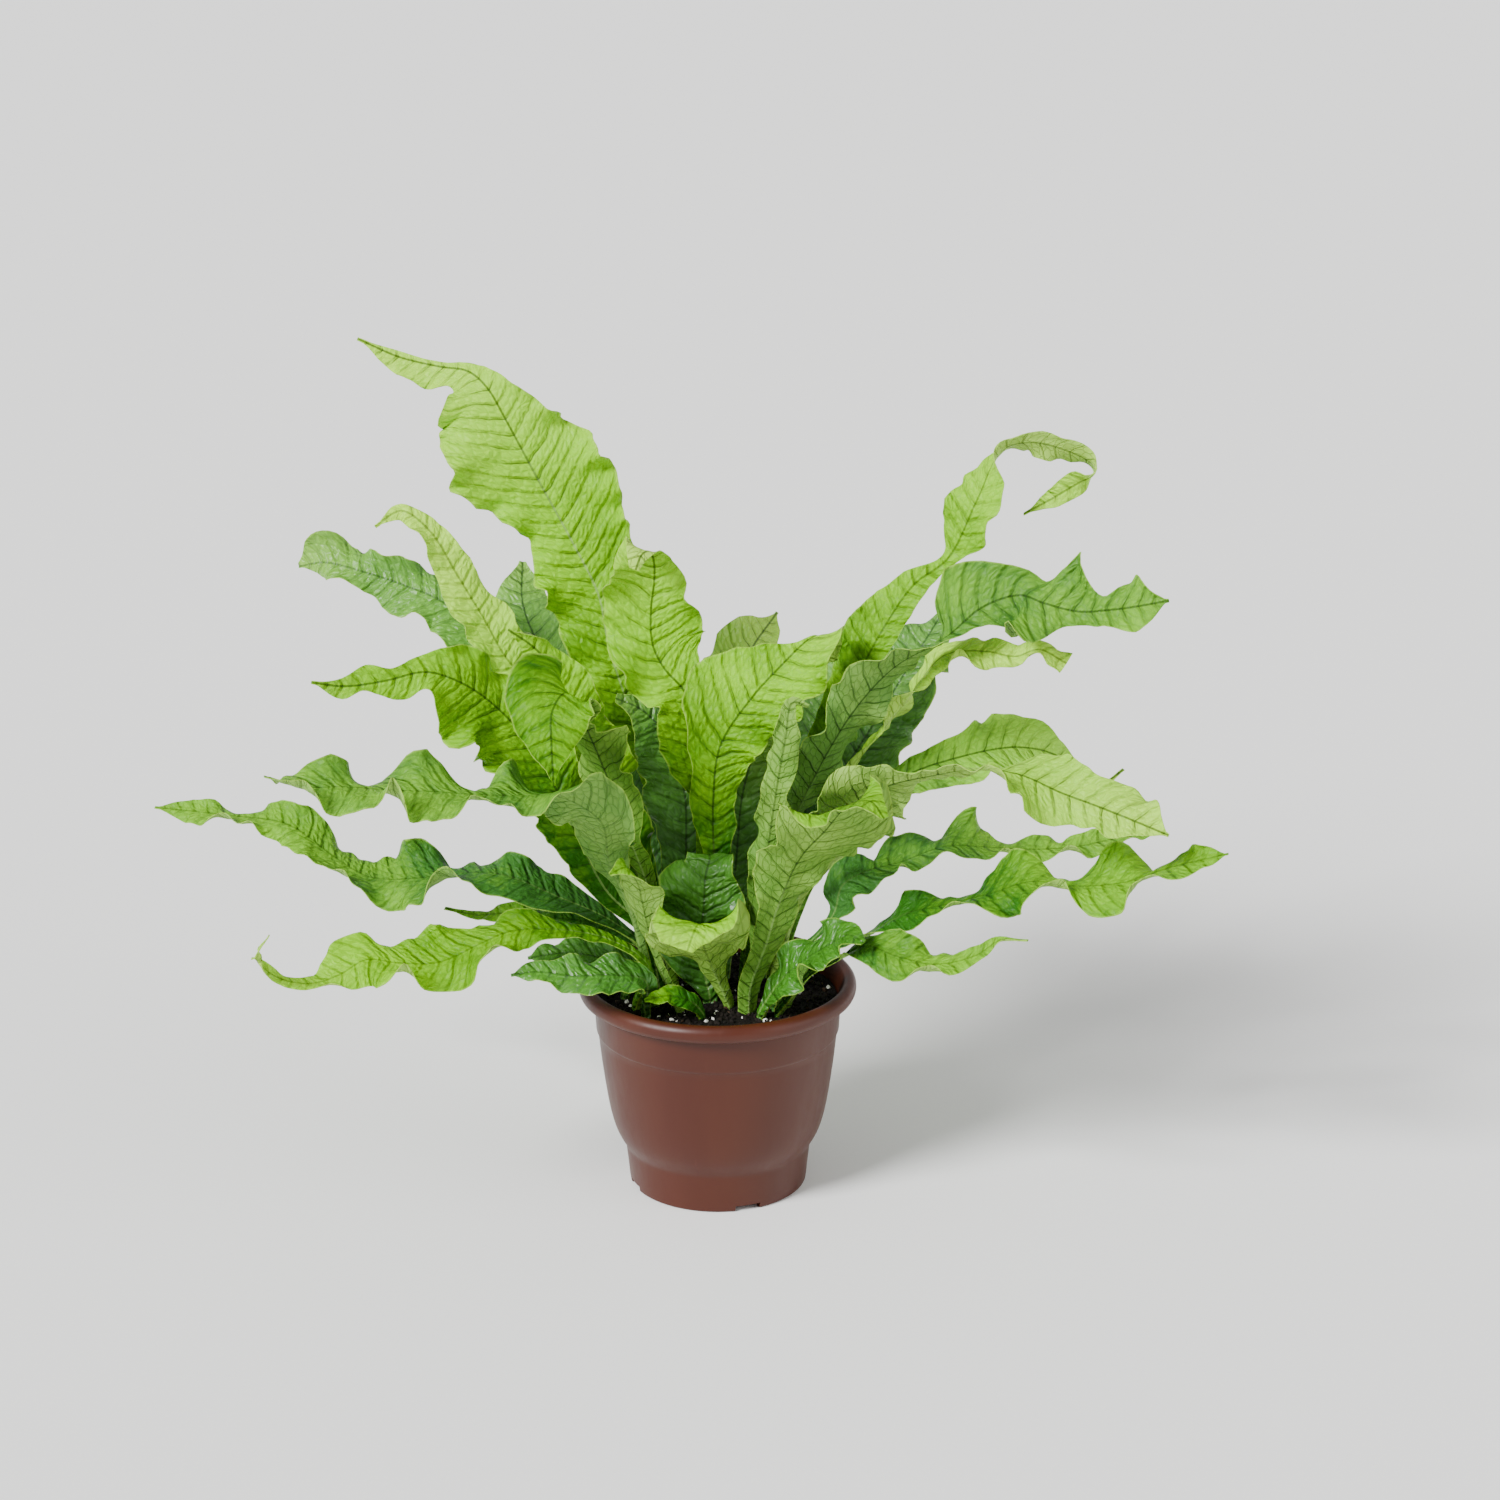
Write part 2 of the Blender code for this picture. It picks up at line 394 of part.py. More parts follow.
def spread(values, at):
    """Values that stand evenly along a frond, softly joined and read at these shares of it."""
    values = np.asarray(values, float)
    knots = np.linspace(0, 1, len(values))
    i = np.clip(np.searchsorted(knots, at, side="right") - 1, 0, len(values) - 2)
    t = (at - knots[i]) / (knots[i + 1] - knots[i])
    ends = np.concatenate([[values[0]], values, [values[-1]]])
    a, b, c, d = ends[i], ends[i + 1], ends[i + 2], ends[i + 3]
    bend = (2 * a - 5 * b + 4 * c - d) * t ** 2 + (3 * b - a - 3 * c + d) * t ** 3
    return 0.5 * (2 * b + (c - a) * t + bend)


def blend(low, high, k_low, k_high, t):
    """The point at t on the straight run from low, at k_low, to high, at k_high."""
    return ((k_high - t) * low + (t - k_low) * high) / (k_high - k_low)


def curve_through(points, steps=40):
    """A centripetal Catmull-Rom curve through the points, as close points."""
    p = np.asarray(points, float)
    p = np.vstack([2 * p[0] - p[1], p, 2 * p[-1] - p[-2]])
    gaps = np.sqrt(np.linalg.norm(np.diff(p, axis=0), axis=1))
    k = np.concatenate([[0], np.cumsum(gaps)])
    pieces = []
    for i in range(1, len(p) - 2):
        last = i == len(p) - 3
        t = np.linspace(k[i], k[i + 1], steps, endpoint=last)[:, None]
        a1 = blend(p[i - 1], p[i], k[i - 1], k[i], t)
        a2 = blend(p[i], p[i + 1], k[i], k[i + 1], t)
        a3 = blend(p[i + 1], p[i + 2], k[i + 1], k[i + 2], t)
        b1 = blend(a1, a2, k[i - 1], k[i + 1], t)
        b2 = blend(a2, a3, k[i], k[i + 2], t)
        pieces.append(blend(b1, b2, k[i], k[i + 1], t))
    return np.vstack(pieces)


def along(curve, at):
    """The curve's points at these shares of its length."""
    lengths = np.linalg.norm(np.diff(curve, axis=0), axis=1)
    run = np.concatenate([[0], np.cumsum(lengths)])
    return np.stack([np.interp(at * run[-1], run, curve[:, k]) for k in range(3)], 1)


def bearings(frond, at):
    """Where the midrib is, its left side and its upper side, at each share of the length."""
    curve = curve_through(frond.midrib)
    reach = 0.012
    ahead = along(curve, np.minimum(at + reach, 1))
    behind = along(curve, np.maximum(at - reach, 0))
    grow = unit(ahead - behind)
    faces = unit(np.asarray(frond.faces, float))
    face = np.stack([spread(faces[:, k], at) for k in range(3)], 1)
    face = unit(face - grow * np.sum(face * grow, 1)[:, None])
    return along(curve, at), np.cross(face, grow), face


def margin_turn(frond, at, side):
    """How far one side's margin is turned up, in radians."""
    phase = np.radians(frond.phase[0] if side > 0 else frond.phase[1])
    beat = 2 * np.pi * frond.waves * at
    swing = np.sin(beat + phase) + 0.22 * np.sin(2.3 * beat + 2.3 * phase + 1.0)
    own = spread(frond.left_turn if side > 0 else frond.right_turn, at)
    return np.radians(FOLD + frond.curl * ease(0.12, 0.42, at) * swing + own)


def half_width(frond, at, side):
    """How far the blade reaches to one side of its midrib."""
    phase = np.radians(frond.phase[0] if side > 0 else frond.phase[1])
    lobe = np.sin(2 * np.pi * frond.waves * 0.93 * at + phase + 1.1)
    half = spread(frond.left if side > 0 else frond.right, at)
    half = half * (1 + 0.1 * ease(0.2, 0.5, at) * lobe)
    return np.maximum(half, np.where(at < 0.5, STEM_HALF, TIP_HALF))


def blade_middle(frond, at, shares):
    """The blade's middle surface: a row at each share of the length, right margin to left."""
    centre, left, face = bearings(frond, at)
    steps = 16
    edges = np.linspace(0, 1, steps + 1)
    mids = (edges[1:] + edges[:-1]) / 2
    columns = []
    for share in shares:
        side = -1 if share < 0 else 1
        turn = margin_turn(frond, at, side)[:, None] * mids ** 1.1
        step = half_width(frond, at, side)[:, None] / steps
        start = np.zeros((len(at), 1))
        outs = np.concatenate([start, np.cumsum(np.cos(turn) * step, 1)], 1)
        rises = np.concatenate([start, np.cumsum(np.sin(turn) * step, 1)], 1)
        out = np.array([np.interp(abs(share), edges, row) for row in outs])
        rise = np.array([np.interp(abs(share), edges, row) for row in rises])
        columns.append(centre + side * left * out[:, None] + face * rise[:, None])
    return np.stack(columns, 1)


def both_faces(frond, at):
    """The blade's upper and lower points: its stem is round and its midrib a ridge beneath."""
    middle = blade_middle(frond, at, ACROSS)
    normal = unit(np.cross(np.gradient(middle, axis=0), np.gradient(middle, axis=1)))
    shares = np.asarray(ACROSS, float)
    ridge = 0.4 + 1.2 * (1 - ease(0.0, 0.8, at))
    under = ridge[:, None] * np.clip(1 - np.abs(shares) / 0.5, 0, 1)
    stem = 1.9 * (1 - ease(0.04, 0.2, at))[:, None] * np.sqrt(1 - shares ** 2)
    upper = middle + normal * (BLADE / 2 + stem * 0.7)[..., None]
    lower = middle - normal * (BLADE / 2 + stem + under)[..., None]
    return upper, lower


def foot_row(frond, upper, lower, height):
    """The stem's first row laid level at a height, centred under the midrib's first point."""
    plan = np.concatenate([upper[0], lower[0]])
    plan = plan - (upper[0].mean(0) + lower[0].mean(0)) / 2 + np.array(frond.midrib[0])
    plan[:, 2] = height
    return plan[:len(ACROSS)], plan[len(ACROSS):]


def row_shares(count):
    """The rows' shares of the length: far apart on the stem and closer on the blade."""
    even = np.linspace(0, 1, count + 1)
    return 0.24 * even + 0.76 * even ** 0.72


def pair(a, b, c, d):
    """Two triangles for the corners a, b, c and d, taken in order."""
    return [(a, b, c), (a, c, d)]


def frond_solid(frond):
    """The frond as one closed body: its points and its triangles, alike on both faces."""
    upper, lower = both_faces(frond, row_shares(frond.rows))
    feet = [foot_row(frond, upper, lower, height) for height in (FOOT_Z, COLLAR_Z)]
    upper = np.stack([foot[0] for foot in feet] + list(upper))
    lower = np.stack([foot[1] for foot in feet] + list(lower))
    rows, across = upper.shape[:2]
    under = rows * across
    triangles = []
    for i in range(rows - 1):
        right, left = i * across, i * across + across - 1
        for a in range(right, left):
            b, c, d = a + 1, a + across + 1, a + across
            triangles += pair(a, d, c, b)
            triangles += pair(a + under, b + under, c + under, d + under)
        next_right, next_left = right + across, left + across
        triangles += pair(right, right + under, next_right + under, next_right)
        triangles += pair(left, next_left, next_left + under, left + under)
    for j in range(across - 1):
        tip = j + under - across
        triangles += pair(j, j + 1, j + 1 + under, j + under)
        triangles += pair(tip, tip + under, tip + 1 + under, tip + 1)
    return np.concatenate([upper.reshape(-1, 3), lower.reshape(-1, 3)]), triangles


def material(name, colour, roughness):
    """A plain Principled material."""
    made = bpy.data.materials.new(name)
    made.use_nodes = True
    shader = made.node_tree.nodes["Principled BSDF"]
    shader.inputs["Base Color"].default_value = (*colour, 1)
    shader.inputs["Roughness"].default_value = roughness
    shader.inputs["Metallic"].default_value = 0
    return made


def place(name, mesh, looks):
    """An object for a mesh, in the scene, shaded smooth."""
    mesh.shade_smooth()
    mesh.set_sharp_from_angle(angle=np.radians(35))
    made = bpy.data.objects.new(name, mesh)
    bpy.context.scene.collection.objects.link(made)
    if looks:
        mesh.materials.append(looks)
    return made


def turned(name, profile):
    """A mesh turned round Z from a profile of radius and height that ends on the axis."""
    shape = bmesh.new()
    points = [shape.verts.new((radius * MM, 0, height * MM)) for radius, height in profile]
    edges = [shape.edges.new(ends) for ends in zip(points, points[1:])]
    bmesh.ops.spin(shape, geom=points + edges, cent=(0, 0, 0), axis=(0, 0, 1),
                   angle=2 * np.pi, steps=AROUND, use_merge=True)
    bmesh.ops.remove_doubles(shape, verts=shape.verts, dist=0.00001)
    bmesh.ops.recalc_face_normals(shape, faces=shape.faces)
    mesh = bpy.data.meshes.new(name)
    shape.to_mesh(mesh)
    shape.free()
    return mesh


def cutters(name):
    """A collection that holds cutting shapes only."""
    made = bpy.data.collections.new(name)
    bpy.context.scene.collection.children.link(made)
    return made


def cutter(group, name, location, turn, build):
    """A cutting shape in its collection, hidden from renders and drawn as wire."""
    shape = bmesh.new()
    build(shape)
    mesh = bpy.data.meshes.new(name)
    shape.to_mesh(mesh)
    shape.free()
    made = bpy.data.objects.new(name, mesh)
    made.location = location
    made.rotation_euler = (0, 0, turn)
    made.hide_render = True
    made.display_type = "WIRE"
    group.objects.link(made)


def prism(sides, radius, height):
    """A builder of an upright prism whose flat sides lie at the radius."""
    corner = radius / np.cos(np.pi / sides)
    return lambda shape: bmesh.ops.create_cone(shape, cap_ends=True, segments=sides, depth=height,
                                               radius1=corner, radius2=corner)


def box(size):
    """A builder of a box of this size."""
    def build(shape):
        made = bmesh.ops.create_cube(shape, size=1)
        bmesh.ops.scale(shape, vec=size, verts=made["verts"])
    return build


def cut(target, group):
    """Cuts a collection's shapes out of an object."""
    boolean = target.modifiers.new("cut", "BOOLEAN")
    boolean.operand_type = "COLLECTION"
    boolean.collection = group
    boolean.operation = "DIFFERENCE"
    boolean.solver = "EXACT"


def inner_wall(gap=0.0):
    """The inside of the pot from the middle of its floor to its ledge, drawn in by a gap."""
    low = FLOOR_THICK + gap
    high = CHANNEL_HEIGHT + FLOOR_THICK + gap
    floor = [(0, low), (PAD_RADIUS - 1, low), (PAD_RADIUS + 1, high), (FOOT_RADIUS - WALL - gap, high)]
    return floor + [(radius - WALL - gap, height) for radius, height in BODY]


def make_pot(looks):
    """The pot: turned shell, drainage notches in its foot and drainage holes in its floor."""
    under = [(0, 0), (PAD_RADIUS, 0), (PAD_RADIUS + CHANNEL_SLOPE, CHANNEL_HEIGHT),
             (CHANNEL_RADIUS, CHANNEL_HEIGHT), (CHANNEL_RADIUS + CHANNEL_SLOPE, 0),
             (FOOT_RADIUS - FOOT_CHAMFER, 0), (FOOT_RADIUS, FOOT_CHAMFER)]
    ledge = [(LEDGE_RADIUS, LEDGE_HEIGHT + 1.4), (BODY_TOP_RADIUS, RIM_UNDER + 0.8)]
    profile = under + list(BODY) + ledge + list(RIM) + inner_wall()[::-1]
    pot = place("pot", turned("pot", profile), looks)
    group = cutters("pot_cutters")
    notch = box((NOTCH_DEPTH * MM, NOTCH_WIDTH * MM, 2 * NOTCH_HEIGHT * MM))
    for quarter in range(4):
        turn = np.radians(FRONT_NOTCH + 90 * quarter)
        centre = (NOTCH_RING * MM * np.cos(turn), NOTCH_RING * MM * np.sin(turn), 0)
        cutter(group, f"notch_cutter_{quarter + 1}", centre, turn, notch)
    drain = prism(DRAIN_SIDES, DRAIN_RADIUS * MM, 4 * FLOOR_THICK * MM)
    height = CHANNEL_HEIGHT + FLOOR_THICK / 2
    for hole in range(DRAIN_HOLES):
        turn = 2 * np.pi * hole / DRAIN_HOLES
        centre = (DRAIN_RING * MM * np.cos(turn), DRAIN_RING * MM * np.sin(turn), height * MM)
        cutter(group, f"drain_cutter_{hole + 1}", centre, turn, drain)
    cut(pot, group)


def hole_radius(frond, points):
    """The inner radius of the hole that clears a frond's foot."""
    foot = points[points[:, 2] < SOIL_TOP + 4] - np.array(frond.midrib[0])
    near = np.linalg.norm(foot[:, :2], axis=1)
    return near[near < 12].max() + SEAT_GAP


def make_compost(looks, holes):
    """The compost: it fills the pot, waves a little on top and has a plain hole for each stem."""
    brim = (BODY_TOP_RADIUS - WALL - 0.2 - SEAT_GAP, SOIL_TOP)
    rings = [(radius, SOIL_TOP) for radius in SOIL_RINGS]
    mesh = turned("compost", inner_wall(SEAT_GAP) + [brim] + rings + [(0, SOIL_TOP)])
    for point in mesh.vertices:
        x, y, z = point.co / MM
        if z > SOIL_TOP - 1 and np.hypot(x, y) < brim[0] - 2:
            wave = np.sin(x / 9) * np.cos(y / 11 + 0.6) + 0.5 * np.sin(x / 5 - y / 6)
            point.co.z = (SOIL_TOP + SOIL_WAVE * wave) * MM
    compost = place("compost", mesh, looks)
    group = cutters("stem_cutters")
    height = SOIL_TOP + 6 - FOOT_Z
    for name, (x, y), radius in holes:
        centre = (x * MM, y * MM, (FOOT_Z - SEAT_GAP + height / 2) * MM)
        cutter(group, f"hole_cutter_{name}", centre, 0, prism(HOLE_SIDES, radius * MM, height * MM))
    cut(compost, group)


def make_fronds(looks):
    """Every frond as an object of its own; gives back the holes that their stems need."""
    holes = []
    for frond in FRONDS:
        points, triangles = frond_solid(frond)
        mesh = bpy.data.meshes.new(frond.name)
        mesh.from_pydata(points * MM, [], triangles)
        place(frond.name, mesh, looks[tone(frond.name)])
        holes.append((frond.name, frond.midrib[0][:2], hole_radius(frond, points)))
    return holes


def tone(name):
    """Which leaf colour a frond has."""
    if name in DEEP:
        return "leaf_deep"
    return "leaf_cool" if name in COOL else "leaf_fresh"


def main():
    """Makes the pot, the fronds and the compost that they stand in."""
    leaves = {
        "leaf_fresh": material("leaf_fresh", (0.16, 0.35, 0.035), 0.5),
        "leaf_deep": material("leaf_deep", (0.055, 0.15, 0.02), 0.42),
        "leaf_cool": material("leaf_cool", (0.10, 0.25, 0.06), 0.45),
    }
    holes = make_fronds(leaves)
    make_pot(material("pot_plastic", (0.19, 0.075, 0.048), 0.42))
    make_compost(material("compost", (0.012, 0.009, 0.007), 0.95), holes)


main()
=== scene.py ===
"""The looks of the potted crocodile fern: its fronds, pot and compost, and the studio round it.

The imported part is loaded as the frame, in metres. Sizes that a maker would read off a ruler are
in millimetres here and are scaled once, where each mesh or pattern is made.
"""

import math
from collections import namedtuple

import bmesh
import bpy
import numpy as np
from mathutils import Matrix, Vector


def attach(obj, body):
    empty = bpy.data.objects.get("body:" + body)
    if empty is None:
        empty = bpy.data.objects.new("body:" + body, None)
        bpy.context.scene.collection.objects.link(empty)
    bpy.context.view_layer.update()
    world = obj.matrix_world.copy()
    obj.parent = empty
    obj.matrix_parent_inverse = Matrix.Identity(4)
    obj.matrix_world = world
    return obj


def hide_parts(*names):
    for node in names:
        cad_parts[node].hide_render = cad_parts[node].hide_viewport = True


bl_info = {
    "name": "Crocodile Fern",
    "version": (1, 0, 0),
    "blender": (4, 5, 0),
    "location": "3D View > Sidebar > Fern",
    "description": "Dresses a potted crocodile fern and sets its studio",
    "category": "Object",
}

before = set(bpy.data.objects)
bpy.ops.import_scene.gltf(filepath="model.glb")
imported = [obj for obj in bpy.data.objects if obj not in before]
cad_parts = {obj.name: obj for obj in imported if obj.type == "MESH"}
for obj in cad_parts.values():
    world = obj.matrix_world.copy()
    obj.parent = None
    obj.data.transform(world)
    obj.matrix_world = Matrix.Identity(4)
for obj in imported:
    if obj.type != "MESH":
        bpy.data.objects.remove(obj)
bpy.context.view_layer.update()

MM = 0.001

# The camera stands in front of the plant and looks a little down, as the photograph does
IMAGE_SIDE = 1500
FOCAL_PIXELS = 3502
CAMERA_AIM = (17.5, 0, 246)
CAMERA_DISTANCE = 1850
CAMERA_RISE = math.radians(18.3)

# Each light's place in metres, its share of the key light's strength, and how many degrees wide
# it looks from the plant
LIT_POINT = (0, 0, 0.25)
LIGHTS = {
    "key_light": ((-1.7, -1.5, 1.9), 1.0, 20),
    "side_light": ((2.0, -0.9, 1.0), 0.22, 50),
}

# The pot: the same sizes as its solid has, with the curves between them drawn finer. BODY is
# the outside of its wall, as points of radius and height
RIM_RADIUS = 75.0
RIM_HEIGHT = 118.0
RIM_UNDER = 108.4
BODY_TOP_RADIUS = 67.0
LEDGE_HEIGHT = 88.0
LEDGE_RADIUS = 65.8
FOOT_RADIUS = 48.2
FOOT_CHAMFER = 1.6
WALL = 1.9
BODY = ((50.4, 22), (55.2, 31), (58.5, 42), (62.6, 68), (64.8, LEDGE_HEIGHT))
FLOOR_THICK = 2.2
PAD_RADIUS = 22.0
CHANNEL_RADIUS = 42.4
CHANNEL_HEIGHT = 2.6
CHANNEL_SLOPE = 0.8
NOTCH_RING = 46.0
NOTCH_DEPTH = 12.0
NOTCH_WIDTH = 14.0
NOTCH_HEIGHT = 3.4
NOTCHES = 4
FRONT_NOTCH = -70.0
DRAIN_HOLES = 6
DRAIN_RADIUS = 4.5
DRAIN_RING = 33.0
PLUG_LENGTH = 9.0
PLUG_MIDDLE = 4.0

# Patterns on the pot: how long the streaks of its flow, its peel and its scuffs are. The peel is
# finer in life, and is drawn as coarse as it needs to show
FLOW_SIZE = 70.0
PEEL_SIZE = 1.1
SCUFF_SIZE = 6.3

# The compost: its surface, the gap to the pot's wall, and its clods and crumbs' grain, which is
# drawn as coarse as it needs to show
SOIL_TOP = 106.4
SOIL_WAVE = 0.7
SOIL_RADIUS = BODY_TOP_RADIUS - WALL - 0.55
SOIL_GAP = 0.35
SOIL_RINGS = 40
SOIL_AROUND = 160
SOIL_SEED = 8
CLOD_SIZE = 4.5
CRUMB_GRAIN = 1.1

# Where perlite lies in a heap: its middle and radius
PERLITE_SPOTS = (((-2, -29), 6.5), ((-28, -30), 4.5))
SPOT_SEED = 21

# The floor's mottle, drawn coarser than paper's fibres so that it shows
PAPER_GRAIN = 2.5

# The fronds: how thick a blade is, how far it folds up, in degrees, the least half width of a stem
# and a tip, how deep a stem is below its blade, and the heights and lengths at which it ends in the
# compost
BLADE = 0.6
FOLD = 8.0
STEM_HALF = 2.6
STEM_DEPTH = 1.9
TIP_HALF = 0.9
FOOT_Z = 92.0
COLLAR_Z = 103.0
FOOT_RUN = (-16, -6)
FROND_SEED = 40

# The midrib: its ridge below, least and most, and its groove above
RIDGE_LEAST = 0.3
RIDGE_MORE = 1.2
GROOVE_DEPTH = 0.25
GROOVE_HALF = 1.4

# Ripples of a margin: how far it is scalloped, and its scallops', folds' and frills' lengths
SCALLOP = 0.10
SCALLOP_LENGTH = 34.0
FOLD_LENGTH = 42.0
FRILL_LENGTH = 19.0

# Veins: the spacing of the side veins, how far they lean and curve to the tip, how far they
# wander, in spacings, how deep they sink, how long the swellings between them are, and how wide a
# cell of the net between them is
VEIN_SPACING = 9.0
VEIN_LEAN = 0.55
VEIN_CURVE = 0.004
VEIN_WANDER = 0.5
VEIN_SINK = 0.2
LUMP_LENGTH = 27.0
NET_CELL = 4.1

# Patterns on a blade: how long the bends of its side veins and of their net are, its patches, the
# stretches in which veins come and go, and its grain, which is finer in life and is drawn as
# coarse as it needs to show. Then the half width of the midrib's line, and where it has faded out
VEIN_BEND = 17.0
NET_BEND = 6.5
PATCH_SIZE = 33.0
VEIN_STRETCH = 13.0
LEAF_GRAIN = 1.1
RIB_LINE = 0.3
RIB_FADE = 0.85

# Millimetres to one unit of the map on which a blade lies flat
MAP_UNIT = 100.0

# A blade's finishes: the material's name, the veins' colour, how it shines, and its roughness
LEAF_LOOKS = {
    "fresh": ("fern_blade_fresh", "#1E3A08", 0.12, 0.4),
    "deep": ("fern_blade_deep", "#142C06", 0.45, 0.3),
    "cool": ("fern_blade_cool", "#1C3A12", 0.4, 0.34),
    "under": ("fern_underside", "#223C0C", 0.12, 0.56),
}

# What a blade's mesh tells its material at each point: how far it is from the midrib, how far up
# the frond, and the frond's own shade, partly painted light and shade, and its painted sheen
LEAF_FIELDS = ("edge", "reach", "light", "rib_turn", "veined", "bloom")

# Settings that many nodes share
SOFT = {"interpolation_type": "SMOOTHSTEP"}
FLAT = {"noise_dimensions": "2D"}
COLOURS = {"data_type": "RGBA"}

# A frond: how many waves its margins have, how many degrees they curl, and where the waves of the
# left and right start; its midrib's points; the way its upper face looks; and its half widths,
# evenly from foot to tip, where the right is left out if it is the same as the left. Then its
# shade: fresh, deep or cool green, how light it is, from -1 for dark to 1 for pale, which is partly
# painted light and shade, how far up its midrib stays pale, how strongly its side veins show, and
# how much painted sheen greys it, a grey-green standing in for light reflected off its waxy skin
Frond = namedtuple(
    "Frond", "name waves curl phase midrib faces left right tone light rib_turn veined bloom",
    defaults=((), "fresh", 0.0, 0.3, 1.0, 0.0))
